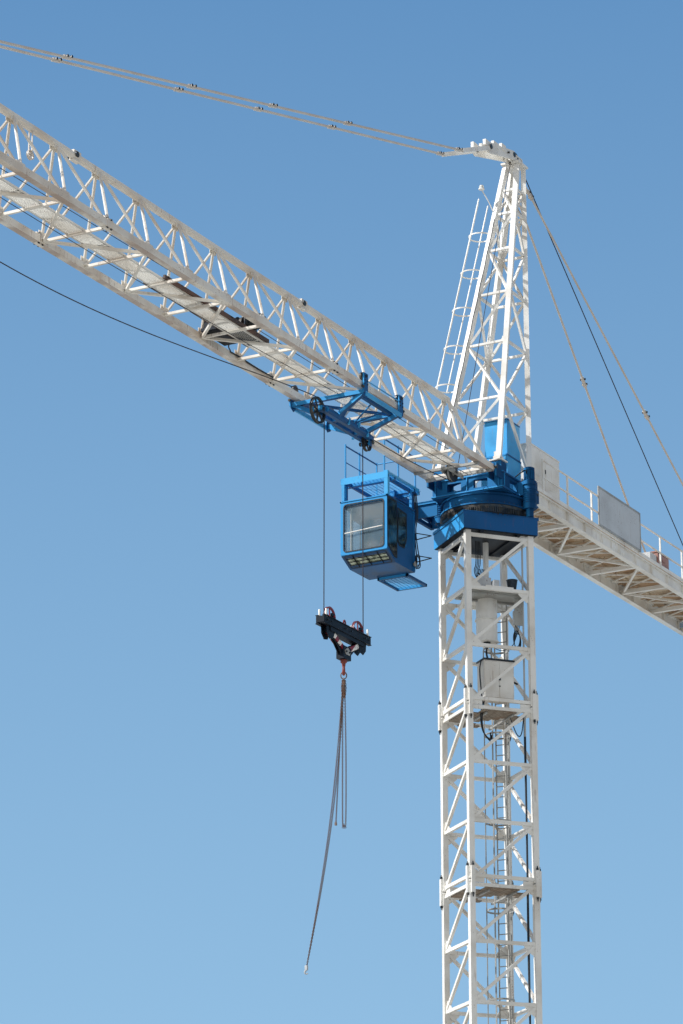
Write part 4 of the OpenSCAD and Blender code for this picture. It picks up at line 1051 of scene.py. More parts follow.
def slewing_teeth():
    """Teeth of the ring, flanges of the drum and their bolts."""
    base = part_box("slewing_ring")[0].z
    teeth = sizes().tooth_count
    step = np.tile([0.628, 0.628, 0.645, 0.645], teeth)
    t = (np.arange(teeth)[:, None] + np.array([0, 0.42, 0.56, 0.86])).ravel() * 2 * math.pi / teeth
    outer = rows(step * np.cos(t), step * np.sin(t))
    inner = 0.54 * rows(np.cos(t), np.sin(t))
    low = np.stack(
        [rows(*r.T, base + h) for r, h in ((inner, 0), (outer, 0), (outer, 0.075), (inner, 0.075))]
    )
    ring = (low.reshape(-1, 3), grid_faces(4, len(t), True))
    rim = lathe(flat_ring(0.541, 0.632, 0.078, 0.119), (0, 0, base), Z, 96, True)
    put("slewing_teeth", [ring, rim], "greased_steel", "tower", stands_for=["slewing_ring"], smooth=0.4)
    t = np.arange(48) * 2 * math.pi / 48
    circle_at = rows(np.cos(t), np.sin(t), 0)
    studs = [copies(bolt(0.011, 0.016), circle_at * 0.57 + Z * base, -Z)]
    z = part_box("turntable")[0].z
    flange = lathe(
        [[0.55, 0.004], [0.642, 0.004], [0.642, 0.026], [0.6, 0.03], [0.6, 0.05], [0.55, 0.05]],
        (0, 0, z), Z, 96, True
    )
    band = lathe(flat_ring(0.59, 0.632, 0.15, 0.176), (0, 0, z), Z, 96, True)
    heads = copies(bolt(0.011, 0.016), circle_at * 0.62 + Z * (z + 0.027))
    put("drum_flanges", [flange, band], "shaded_enamel", smooth=0.5)
    put("drum_bolts", [heads], "greased_steel")
    put("ring_bolts", studs, "greased_steel", "tower")


def slewing_collar():
    """Thin lips along the collar's edges, a black plate for a lifting slot near each corner, and a dark plate
    with two bars under the collar as painted shade.
    """
    lo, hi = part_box("mast_collar")[0].z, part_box("mast_collar")[1].z
    # Painted shade: each lifting slot is a black plate on the collar's face, in place of the dark hollow
    # behind it.
    slot = prism(rounded(0.024, 0.1, 0.011), (0.46, 0.5565, (lo + hi) / 2 - 0.03), X, Z, 0.004)
    parts, slots = [], []
    for a in range(4):
        one = [
            block((0, 0.558, lo + 0.006), (1.12, 0.012, 0.012)),
            block((0, 0.568, hi - 0.005), (1.14, 0.012, 0.01)),
        ]
        parts.append(moved(joined(one), TURN + a * math.pi / 2))
        slots.append(moved(slot, TURN + a * math.pi / 2))
    put("collar_lips", parts, "blue_enamel", "tower", bevel=0.002)
    # Painted shade: a dark plate and two bars under the collar, whose underside the world light would show
    # lit.
    under = [block((0, 0, lo - 0.004), (1.1, 1.1, 0.006))]
    under += [block((0, y, lo - 0.02), (1.1, 0.05, 0.03)) for y in (-0.28, 0.28)]
    put("collar_underside", under, "dark_enamel", "tower", turn=TURN)
    put("collar_slots", slots, "black_plastic", "tower")


def slewing_deck():
    """Edge flanges, ribs and pins of the turntable's deck."""
    z = JIB - 0.12
    top = JIB - 0.001
    parts = []
    for a in range(4):
        one = [
            block((0, 0.56, top - 0.012), (1.13, 0.03, 0.022)),
            block((0, 0.56, JIB - 0.235), (1.13, 0.03, 0.022)),
        ]
        one += [block((x, 0.563, z), (0.016, 0.02, 0.2)) for x in (-0.5, 0.0, 0.5)]
        parts.append(moved(joined(one), a * math.pi / 2))
    put("deck_flanges", parts, "blue_enamel", bevel=0.003)
    jib_pin = both_ways([[0.03, -0.085], [0.03, -0.078], [0.022, -0.076]])
    rear_pin = both_ways([[0.032, -0.092], [0.032, -0.085], [0.024, -0.083]])
    made = []
    for s in (-1, 1):
        made += [
            lathe(jib_pin, (ROOT - 0.005, s * HALF_JIB, JIB), Y, 14),
            lathe(rear_pin, (-0.665, s * REAR_HALF, JIB + 0.006), Y, 14),
        ]
    put("root_pins", made, "greased_steel")


def slewing_gears():
    """Ribbed gear housings: stacked fins round each reducer, a bolted cap and a motor with a fan cowl."""
    parts, bolts, dark = [], [], []
    for a in (90, -90):
        t = math.radians(a)
        at = np.array([0.707 * math.cos(t), 0.707 * math.sin(t), 0])
        z = JIB - 0.36
        for k in range(7):
            parts.append(lathe(
                [[0.09, 0], [0.1, 0.002], [0.1, 0.012], [0.09, 0.014]], at + Z * (z + 0.032 * k), Z, 28
            ))
        parts.append(
            lathe([[0.1, 0], [0.112, 0.004], [0.112, 0.026], [0.07, 0.036]], at + Z * (JIB - 0.1), Z, 28)
        )
        fin_at = rows(*circle(20, 0.0745).T, JIB + 0.05) + at
        parts += [
            copies(block((0, 0, 0), (0.006, 0.014, 0.13)), fin_at),
            lathe([[0.075, 0.12], [0.078, 0.125], [0.078, 0.165], [0.06, 0.175]], at + Z * JIB, Z, 24),
        ]
        ring = rows(*circle(12, 0.098).T, JIB - 0.072) + at
        bolts.append(copies(bolt(0.008, 0.011), ring))
        bend = ((1, 0.06, 0.07), (1, 0.1, 0.13), (0.75, 0.03, 0.1), (0.6, -0.01, 0))
        path = [at * share + Z * (JIB + h) + X * out for share, h, out in bend]
        dark.append(hose(path, 20, 0.009))
    put("gear_housings", parts, "shaded_enamel", smooth=0.5)
    put("gear_bolts", bolts, "greased_steel")
    put("gear_cables", dark, "black_rubber")


class CRANE_OT_slewing(bpy.types.Operator):
    """Teeth, flanges, bolts and gear housings round the slewing ring"""

    bl_idname = "crane.slewing"
    bl_label = "Slewing ring"

    def execute(self, context):
        slewing_teeth()
        slewing_collar()
        slewing_deck()
        slewing_gears()
        return {"FINISHED"}


def head_plates():
    """Feet, gussets and top plates, pins, ropes over the apex, seams and brackets."""
    signs = [(sx, sy) for sx in (-1, 1) for sy in (-1, 1)]
    feet = np.array([head_corner(sx, sy, 0.0) for sx, sy in signs])
    plates = [boxes(feet - (0.1, 0.1, -0.002), feet + (0.1, 0.1, 0.022))]
    ring = np.array([[x, y, 0.02] for x in (-0.078, 0.078) for y in (-0.078, 0.078)])
    bolts = [copies(bolt(0.012, 0.018), feet + r) for r in ring]
    k = np.arange(7)
    level = 0.02 + 0.9 * (1 - (1 - k / 6) ** 1.35)
    for sx, sy in signs:
        at = head_corner(sx, sy, level)
        g = 0.075 - 0.035 * level[:, None]
        plates += [
            boxes(
                at - (g if sx > 0 else 0) * X - 0.006 * Y - g * Z,
                at + (0 if sx > 0 else g) * X + 0.006 * Y + g * Z
            ),
            boxes(
                at - (g if sy > 0 else 0) * Y - 0.006 * X - g * Z,
                at + (0 if sy > 0 else g) * Y + 0.006 * X + g * Z
            ),
        ]
    side = lathe([[0.06, 0.013], [0.108, 0.02], [0.108, 0.026], [0.06, 0.024]], APEX, Y, 32, True)
    for x in (-0.16, 0.02, 0.2):
        plates.append(mirrored(block((-RAKE + x, 0.051, HEAD_TOP + 0.125), (0.024, 0.016, 0.13))))
    plates.append(mirrored(block((-RAKE + 0.035, 0.046, HEAD_TOP + 0.208), (0.42, 0.014, 0.014))))
    put("head_plates", plates, "white_enamel", bevel=0.002)
    put("apex_sheave_rims", [mirrored(side)], "greased_steel")
    bolts += [
        pins([APEX], 0.014, 0.11),
        pins([(-RAKE + 0.185, 0, HEAD_TOP + 0.15)], 0.03, 0.18),
        pins([(-RAKE - 0.12, 0, HEAD_TOP + 0.105)], 0.026, 0.12),
    ]
    for y in (-0.115, 0.115):
        bolts += [pins([(-0.065, y, 21.615)], 0.03, 0.07), pins([(-0.72, y * 0.8, 21.785)], 0.014, 0.06)]
    put("head_bolts", bolts, "greased_steel")
    runs, linked = [], []
    for s, far, share in ((-1, -7.3, 0.45), (1, -9.123, 0.5)):
        runs += [
            (
                [0.903, s * 0.15, 21.179], [14.655, s * 0.0519, JIB + 1.098],
                (0.0073, 0.245, 0.39, 0.535, 0.735, 0.9921)
            ),
            ([-1.3, s * 0.095, 21.48], [far + 0.01, s * REAR_HALF, JIB + 0.229], (0.02, share, 0.95))
        ]
    for a, b, shares in runs:
        a, b = np.array(a), np.array(b)
        u = (b - a) / np.linalg.norm(b - a)
        at = [a + (b - a) * t + u * d for t in shares for d in (-0.045, 0.045)]
        linked.append(pins(at, 0.013, 0.07))
    put("pendant_pins", linked, "greased_steel")
    root = np.array([ROOT_X, 0, ROOT_Z])
    ropes = []
    for end, at_end, side, r in ((DRUM, DRUM_WRAP, -1, 0.008), (root, -ROOT_WRAP, 1, 0.005)):
        d = end - APEX
        a = math.atan2(d[2], d[0]) + side * math.acos((APEX_WRAP + side * abs(at_end)) / np.linalg.norm(d))
        n = np.array([math.cos(a), 0, math.sin(a)])
        ropes.append(tube(line(APEX + APEX_WRAP * n, end + at_end * n, 4), r, 8))
    put("hoist_rope_runs", ropes, "wire_rope", stands_for=["hoist_rope"])
    z = JIB - 0.04
    band = [
        boxes((-0.476, -0.076, z + 0.478), (-0.024, 0.356, z + 0.502)),
        boxes((-0.066, 0.332, z + 0.5), (-0.054, 0.344, z + 1.04)),
        boxes((-0.476, -0.026, z + 1.036), (-0.054, 0.346, z + 1.05)),
    ]
    put("housing_seams", band, "blue_enamel")
    steps = []
    for s in (-1, 1):
        for x, z, wide in ((-0.55, 21.80, 0.14), (-0.3, 21.735, 0.18), (-0.02, 21.655, 0.16)):
            steps.append(block((x, s * 0.1, z), (wide, 0.05, 0.09)))
    put("link_brackets", steps, "white_enamel", bevel=0.003)


def head_lamp():
    """A warning lamp on a bent arm, with its cable down the leg."""
    foot, end = np.array([-0.8, -0.16, JIB + 4.53]), np.array([-0.63, -0.3, JIB + 4.93])
    arm = [
        hose([foot, (foot + end) / 2 + Z * 0.03, end], 8, 0.009, 8),
        block(foot, (0.06, 0.05, 0.08)),
        lathe([[0.035, 0], [0.045, 0.004], [0.045, 0.02], [0.035, 0.024]], end, Z, 20),
    ]
    put("lamp_arm", arm, "white_enamel")
    glass = lathe([[0.034, 0.024], [0.036, 0.05], [0.028, 0.07], [0.01, 0.078]], end, Z, 20)
    put("lamp_glass", [glass], "lamp_glass")
    t = np.linspace(0.02, 0.82, 50)
    leg = head_corner(1, -1, t) + rows(0.045, 0.03 + 0.004 * np.sin(t * 60), 0)
    put("lamp_cable", [tube(leg, 0.006, 6)], "black_rubber")


class CRANE_OT_head(bpy.types.Operator):
    """Feet, gussets, sheave, links, lamp and cables of the tower head"""

    bl_idname = "crane.head"
    bl_label = "Tower head"

    def execute(self, context):
        head_plates()
        head_lamp()
        return {"FINISHED"}


def jib_nodes():
    """Gusset plates at every node, flanges and pins at the chords' joints."""
    x = ROOT + BAY * np.arange(BAYS + 1)
    low = rows(x, HALF_JIB - 0.024, JIB + 0.077)[1:-1]
    high = rows(x[:-1] + BAY / 2, 0.034, TOP_CHORD - 0.055)
    plates = [
        boxes(low - (0.09, 0.004, 0.031), low + (0.09, 0.004, 0.031)),
        boxes(high - (0.075, 0.004, 0.03), high + (0.075, 0.004, 0.03)),
    ]
    inner = low - (0, 0.034, 0.085)
    plates.append(boxes(inner - (0.07, 0.03, 0.003), inner + (0.07, 0.03, 0.003)))
    pin_at, bolt_at, lug_at = [], [], []
    for k in (5, 11, 17):
        c = np.array([ROOT + k * BAY + 0.05, HALF_JIB, JIB])
        for s in (-1, 1):
            plates += [
                block(c + X * 0.05 * s, (0.02, 0.098, 0.098)),
                block(c + Z * 0.058 * s, (0.16, 0.05, 0.026)),
            ]
        pin_at += [c + Z * h + X * d for h in (0.058, -0.058) for d in (0.04, -0.04)]
        bolt_at.append((c[0] + 0.03, 0.036, TOP_CHORD))
        lug_at.append((c[0] + 0.03, 0, TOP_CHORD - 0.005))
    put("jib_gussets", [mirrored(joined(plates))], "cream_enamel", bevel=0.002)
    joints = [
        mirrored(pins(pin_at, 0.011, 0.06)),
        mirrored(copies(bolt(0.016, 0.018), bolt_at, Y)),
        pins(lug_at, 0.028, 0.11),
    ]
    put("jib_joint_pins", joints, "greased_steel")


def jib_walkway():
    """Grating between two edge angles: cross bars at the grating's pitch on nine long bars."""
    x0, x1 = ROOT + 0.44, JIB_END - 0.15
    z = JIB - 0.008 + 0.017 + 0.0003
    x = np.arange(x0, x1, sizes().mesh_pitch)
    cross = boxes(rows(x, -0.117, z + 0.004), rows(x + 0.006, 0.117, z + 0.016))
    y = np.linspace(-0.1, 0.1, 9)
    long = boxes(rows(x0, y - 0.002, z), rows(x1, y + 0.002, z + 0.014))
    edges = [
        mirrored(boxes((x0, 0.117, z), (x1, 0.125, z + 0.026))),
        mirrored(boxes((x0, 0.1, z), (x1, 0.12, z + 0.003))),
    ]
    seams = ROOT + 0.44 + 1.8 * np.arange(1, 10)
    ends = boxes(rows(seams - 0.012, -0.12, z), rows(seams + 0.012, 0.12, z + 0.02))
    put("walkway_grating", [cross, long, *edges, ends], "white_enamel", stands_for=["jib_walkway"])


def jib_winch():
    """Drum flanges, wound rope, finned motor and bolts of the trolley winch."""
    at = np.array([6.75, 0, JIB + 0.0196 + 0.15])
    rope = [[0.096 + 0.0035 * (1 + math.cos(i * math.pi)), -0.078 + i * 0.0026] for i in range(61)]
    put("trolley_winch_rope", [lathe([[0.09, -0.079], *rope, [0.09, 0.079]], at, Y, 32)], "wire_rope")
    parts = [mirrored(lathe(flat_ring(0.05, 0.128, 0.079, 0.0815), at, Y, 32, True))]
    for k in range(7):
        parts.append(lathe(
            [[0.068, 0], [0.08, 0.002], [0.08, 0.006], [0.068, 0.008]], at + Y * (0.178 + 0.013 * k),
            Y, 28
        ))
    parts += [
        lathe([[0.06, 0.27], [0.074, 0.272], [0.074, 0.3], [0.05, 0.312]], at, Y, 24),
        block(at + (0.0, 0.225, 0.085), (0.08, 0.06, 0.05)),
    ]
    m = np.array([6.85, -0.29, JIB + 0.14])
    parts += [
        lathe(
            [[0.05, -0.22], [0.085, -0.21], [0.085, 0.1], [0.1, 0.11], [0.1, 0.2], [0.06, 0.22]], m, X, 20
        ),
        boxes(m + (-0.28, -0.11, -0.11), m + (0.3, 0.11, -0.07)),
        boxes(m + (0.1, -0.08, -0.07), m + (0.28, 0.14, 0.1)),
    ]
    rails = [mirrored(boxes((6.4, 0.13, JIB + 0.022), (8.9, 0.16, JIB + 0.07)))]
    rails += [boxes((x, -0.16, JIB + 0.05), (x + 0.05, 0.16, JIB + 0.068)) for x in (7.3, 8.0, 8.8)]
    put("trolley_winch_rails", rails, "rusty_steel")
    bolts = [copies(
        bolt(0.01, 0.013),
        at + [(x, y, -0.117) for x in (-0.25, -0.19, 0.19, 0.25) for y in (-0.07, 0.07)]
    )]
    put("trolley_winch_fittings", parts, "dark_enamel", smooth=0.5)
    put("trolley_winch_bolts", bolts, "greased_steel")


def jib_sheaves():
    """Small hanging sheave, flanges of the root sheave, plates and bolts of the tip, and a cable."""
    hang = np.array([11.6, 0, JIB + 0.62])
    small = [
        sheave(hang, 0.06, 0.03, 0.01, 5),
        pins([hang], 0.009, 0.06),
        mirrored(bars(hang + Y * 0.022, hang + (0, 0.022, 0.32), 0.014)),
    ]
    put("hanging_sheave", small, "bar_enamel", smooth=0.5)
    root = (ROOT_X, 0, ROOT_Z)
    rims = mirrored(
        lathe([[0.05, 0.0175], [0.135, 0.02], [0.135, 0.0265], [0.05, 0.023]], root, Y, 36, True)
    )
    parts = [rims, pins([root], 0.02, 0.16), pins([(TIP_X, 0, TIP_Z)], 0.016, 0.12)]
    put("jib_sheaves", parts, "greased_steel", smooth=0.5)
    end = JIB_END + 0.0603
    plates = [
        mirrored(block((end + 0.004, HALF_JIB - 0.03, JIB), (0.012, 0.11, 0.13))),
        block((JIB_END + 0.09, 0, JIB + 0.685), (0.05, 0.05, 0.075)),
    ]
    put("tip_plates", plates, "white_enamel", bevel=0.002)
    y = np.repeat([HALF_JIB - 0.06, HALF_JIB], 2)
    at = rows(end + 0.01, y, np.tile([JIB - 0.045, JIB + 0.045], 2))
    put("tip_bolts", [mirrored(copies(bolt(0.01, 0.012), at, X))], "greased_steel")
    x = np.linspace(5.2, 6.4, 30)
    dip = np.abs(np.sin((x - ROOT) / BAY * math.pi)) * 0.012
    cable = [
        tube(rows(x, -HALF_JIB + 0.062 + 0.003 * np.sin(x * 5), JIB + 0.02 - dip), sizes().cable / 2, 6),
        hose(
            [
                (6.4, -0.415, JIB + 0.02), (6.6, -0.3, JIB + 0.05), (6.75, 0.1, JIB + 0.3),
                (6.75, 0.22, JIB + 0.29)
            ],
            16, 0.009
        ),
    ]
    put("jib_cable", cable, "black_rubber")


def jib_ropes():
    """Hoist rope from the root over the trolley to the tip, and the two trolley ropes."""
    r = sizes().rope / 2
    low = (ROOT_X, 0, ROOT_Z - ROOT_WRAP)
    over = (SMALL_X - 0.02, 0, SMALL_Z + SMALL - GROOVE + ROPE_SEAT)
    put(
        "hoist_rope_inner", [tube(sagging(low, over, 0.03, 30), r, 8)], "wire_rope",
        ("upper_works", "trolley", low, over)
    )
    a = (BIG_X, 0, SHEAVE_Z + BIG - GROOVE + ROPE_SEAT)
    b = (TIP_X, 0, TIP_Z - TIP_WRAP)
    put(
        "hoist_rope_outer", [tube(sagging(a, b, sizes().sag, 80, 1.15), r, 8)], "wire_rope",
        ("trolley", "upper_works", a, b)
    )
    z = JIB - 0.085
    c, d = (ROOT + 0.1, 0.16, z), (TROLLEY - 0.5, 0.16, z)
    put(
        "trolley_rope_inner", [tube(sagging(c, d, 0.04, 24), r * 0.7, 6)], "wire_rope",
        ("upper_works", "trolley", c, d)
    )
    e, f = (TROLLEY + 0.5, 0.16, z), (JIB_END, 0.16, z)
    put(
        "trolley_rope_outer", [tube(sagging(e, f, 0.16, 60), r * 0.7, 6)], "wire_rope",
        ("trolley", "upper_works", e, f)
    )
    upper = [
        tube(line((ROOT + 0.1, -0.05, JIB + 0.27), (6.7, -0.05, JIB + 0.27), 4), r * 0.7, 6),
        tube(line((6.8, 0.05, JIB + 0.265), (JIB_END, 0.05, JIB + 0.1), 4), r * 0.7, 6),
    ]
    t = np.linspace(-math.pi / 2, math.pi / 2, 14)
    upper.append(tube(rows(ROOT_X - ROOT_WRAP * np.cos(t), 0, ROOT_Z + ROOT_WRAP * np.sin(t)), r, 8))
    put("winch_ropes", upper, "wire_rope")


class CRANE_OT_jib(bpy.types.Operator):
    """Gussets, joints, walkway grating, winch, sheaves, cables and ropes of the jib"""

    bl_idname = "crane.jib"
    bl_label = "Jib"

    def execute(self, context):
        jib_nodes()
        jib_walkway()
        jib_winch()
        jib_sheaves()
        jib_ropes()
        return {"FINISHED"}


def counter_jib_beams():
    """Cross members, bracing, stiffeners, toe boards and the sign's frame."""
    x = -0.95 - 0.45 * np.arange(15)
    under = [
        boxes(rows(x - 0.015, -0.42, JIB + 0.055), rows(x + 0.015, 0.42, JIB + 0.089)),
        boxes(rows(x - 0.019, -0.42, JIB + 0.055), rows(x - 0.015, 0.42, JIB + 0.089)),
    ]
    under += [bars((-0.8, y, JIB + 0.07), (-7.8, y, JIB + 0.07), 0.03) for y in (-0.2, 0.2)]
    put("floor_joists", under, "floor_plate")
    brace = []
    for count, x0, step, h, wide, sign in (
        (7, -0.895, 1.18, -0.04, 0.034, 1),
        (16, -0.9, 0.43, 0.035, 0.02, -1),
        (16, -0.9, 0.43, 0.035, 0.02, 1),
    ):
        k = np.arange(count)
        side = np.where(k % 2, 0.4, -0.4) * sign
        brace.append(
            bars(rows(x0 - k * step, side, JIB + h), rows(x0 - (k + 1) * step, -side, JIB + h), wide)
        )
    x = np.arange(-1.2, -9.3, -0.6)
    for y in (-REAR_HALF, REAR_HALF):
        brace.append(boxes(rows(x, y - 0.042, JIB - 0.076), rows(x + 0.008, y + 0.042, JIB + 0.076)))
    brace.append(mirrored(boxes((-7.9, 0.458, JIB + 0.1125), (-0.75, 0.463, JIB + 0.172))))
    for c in SPLICES:
        brace.append(mirrored(block((c, 0.4475, JIB), (0.5, 0.012, 0.13))))
    put("counter_jib_bracing", brace, "white_enamel")
    along = (-0.2, -0.12, -0.04, 0.04, 0.12, 0.2)
    at = [(c + x, 0.4535, JIB + z) for c in SPLICES for x in along for z in (-0.04, 0.04)]
    put("splice_bolts", [mirrored(copies(bolt(0.01, 0.012), at, Y))], "white_enamel", slot="dark_steel")
    x = np.arange(-1.65, -7.8, -0.9)
    seams = boxes(rows(x, -0.45, JIB + 0.112), rows(x + 0.03, 0.45, JIB + 0.117))
    put("floor_seams", [seams], "floor_plate")
    outer, inner = rounded(1.53, 0.63, 0.01, 2), rounded(1.46, 0.56, 0.01, 2)
    rim = rim_between(outer, inner, (-3.6, 0.4785, JIB + 0.47), X, Z, 0.016)
    put("sign_frame", [rim], "grey_enamel")


def counter_jib_machines():
    """Doors and vents of the cabinet, lid of the box, rope, gearbox and motor of the winch, slab eyes."""
    d = DECK + 0.09
    outer, inner = rounded(1.0, 0.32, 0.01, 2), rounded(0.9, 0.2, 0.01, 2)
    plates = [rim_between(outer, inner, (-1.25, 0.21, d + 0.641), X, Y, 0.02)]
    for x in (-1.49, -1.01):
        plates.append(block((x, 0.3625, d + 0.32), (0.46, 0.008, 0.6)))
        plates += [block((x, 0.367, d + 0.1 + 0.022 * k), (0.26, 0.006, 0.008)) for k in range(6)]
    plates += [block((x, 0.21, d + 0.32), (0.008, 0.26, 0.58)) for x in (-0.757, -1.743)]
    put("cabinet_doors", plates, "white_enamel", bevel=0.002)
    dark = [block((-1.25, 0.37, d + 0.34), (0.014, 0.01, 0.06))]
    for k in range(3):
        x = -1.2 - 0.06 * k
        path = [
            (x, 0.2, d), (x, 0.15, DECK + 0.03), (-0.9, 0.1 - 0.03 * k, DECK + 0.012), (-0.6, 0.08, DECK)
        ]
        dark.append(hose(path, 16, 0.011))
    x = np.linspace(-0.7, -7.1, 80)
    dark.append(tube(rows(x, -0.38 + 0.006 * np.sin(x * 4), DECK + 0.012), 0.012, 6))
    put("counter_jib_cables", dark, "black_rubber")
    brick = [
        boxes((-5.66, 0.07, DECK + 0.3), (-5.22, 0.39, DECK + 0.325)),
        block((-5.44, 0.384, DECK + 0.2), (0.1, 0.01, 0.03)),
    ]
    put("box_lid", brick, "brick_enamel", bevel=0.003)
    shell = boxes((-5.222, 0.098, DECK + 0.002), (-4.978, 0.362, DECK + 0.244))
    put("box_grey_part", [shell], "sign_enamel", bevel=0.003)
    w = DRUM
    coil = [[0.195 + 0.007 * (1 + math.cos(i * math.pi)), -0.228 + i * 0.0076] for i in range(61)]
    put("winch_rope", [lathe([[0.185, -0.229], *coil, [0.185, 0.229]], w, Y, 40)], "wire_rope")
    blue = [
        mirrored(lathe([[0.1, 0.233], [0.235, 0.24], [0.235, 0.25], [0.1, 0.257]], w, Y, 40, True)),
        lathe([[0.13, 0.262], [0.15, 0.27], [0.15, 0.32], [0.09, 0.345]], w, Y, 32),
    ]
    for k in range(9):
        blue.append(lathe(
            [[0.1, 0], [0.118, 0.003], [0.118, 0.009], [0.1, 0.012]],
            w + (0.55, -0.28 + 0.02 * k, -0.04), Y, 28
        ))
    blue += [
        lathe([[0.1, -0.3], [0.1, 0.02]], w + (0.55, 0, -0.04), Y, 28),
        block(w + (0.55, 0.12, 0.1), (0.3, 0.25, 0.03)),
    ]
    put("winch_fittings", blue, "blue_enamel", smooth=0.5)
    bolts = [
        mirrored(copies(bolt(0.012, 0.014), w + [(x, 0.32, -0.232) for x in (-0.3, -0.1, 0.1, 0.3, 0.6)]))
    ]
    t = np.arange(8) * math.pi / 4
    bolts += [
        copies(bolt(0.009, 0.01), w + rows(0.13 * np.cos(t), 0.3, 0.13 * np.sin(t)), Y),
        mirrored(bars((-9.45, 0.3, JIB - 0.5), (-8.25, 0.3, JIB - 0.5), 0.03, 8)),
    ]
    t = around(24)
    for x in -9.264 + 0.282 * np.arange(4):
        for y in (-0.22, 0.22):
            ring = rows(x + 0.035 * np.cos(t), y, JIB + 0.182 + 0.035 * np.sin(t))
            bolts.append(tube(ring, 0.007, 6, Y, True))
    put("winch_and_weight_bolts", bolts, "greased_steel")


class CRANE_OT_counter_jib(bpy.types.Operator):
    """Floor, bracing, cabinet, sign, winch and counterweight fittings of the counter-jib"""

    bl_idname = "crane.counter_jib"
    bl_label = "Counter-jib"

    def execute(self, context):
        counter_jib_beams()
        counter_jib_machines()
        return {"FINISHED"}


def cab_front():
    """Frame and seal of the front window, the sloped lower glass with its guard grid, and roof edges."""
    y = CAB_MIDDLE
    wide, tall = CAB_WIDTH - 0.07, CAB_TOP - CAB_FLOOR - CHIN_Z - 0.06
    mid = np.array([CAB_FRONT, y, CAB_FLOOR + CHIN_Z + 0.028 + tall / 2])
    frame_at = mid + (0.005, 0, 0.002)
    outer = rounded(CAB_WIDTH + 0.012, tall + 0.068, 0.02)
    parts = [rim_between(outer, rounded(wide - 0.01, tall - 0.01, 0.05), frame_at, Y, Z, 0.012)]
    x0, x1 = CAB_BACK - 0.012, CAB_FRONT + 0.02
    for side in (CAB_NEAR, CAB_FAR):
        parts.append(boxes((x0, side - 0.012, CAB_TOP - 0.004), (x1, side + 0.012, CAB_TOP + 0.014)))
    for x in (x0, x1 - 0.024):
        parts.append(
            boxes((x, CAB_FAR - 0.012, CAB_TOP - 0.004), (x + 0.024, CAB_NEAR + 0.012, CAB_TOP + 0.014))
        )
    put("cab_front_frame", parts, "blue_enamel", bevel=0.003)
    # A dark grey-brown plate under the cab floor, far darker than the cab's blue: painted shade under the cab
    # together with grime.
    below = boxes(
        (CAB_BACK, CAB_FAR + 0.004, CAB_FLOOR - 0.006),
        (CAB_FRONT - CHIN_X, CAB_NEAR - 0.004, CAB_FLOOR + 0.001)
    )
    put("cab_underside", [below], "underside")
    seal = [window_rim(mid + (0.012, 0, 0), wide - 0.036, tall - 0.036, Y, Z, 0.014, 0.012, 0.04)]
    slope = np.array([CHIN_X, 0, CHIN_Z]) / math.hypot(CHIN_X, CHIN_Z)
    low = np.array([CAB_FRONT - CHIN_X / 2, y, CAB_FLOOR + CHIN_Z / 2])
    out = np.cross(Y, slope)
    run = math.hypot(CHIN_X, CHIN_Z) - 0.025
    seal.append(window_rim(low + out * 0.003, run - 0.02, CAB_WIDTH - 0.1, slope, Y, 0.014, 0.012, 0.02))
    put("cab_front_seals", seal, "black_rubber")
    pane = prism(rounded(run, CAB_WIDTH - 0.08, 0.02), low, slope, Y, 0.005)
    put("cab_lower_glass", [pane], "lower_glass")
    grid = []
    for k in (-1.6, 0, 1.6):
        c = low + out * 0.014 + Y * 0.12 * k
        grid.append(bars(c - slope * (run / 2 - 0.01), c + slope * (run / 2 - 0.01), 0.01))
    for k in (-1, 0, 1):
        c = low + out * 0.014 + slope * 0.062 * k
        grid.append(bars(c - Y * (CAB_WIDTH / 2 - 0.05), c + Y * (CAB_WIDTH / 2 - 0.05), 0.009))
    put("cab_guard_grid", grid, "dark_enamel")
    bar = [bars(mid + (0.02, -wide / 2 + 0.03, -0.075), mid + (0.02, wide / 2 - 0.03, -0.045), 0.014, 8)]
    put("cab_window_bar", bar, "white_enamel")


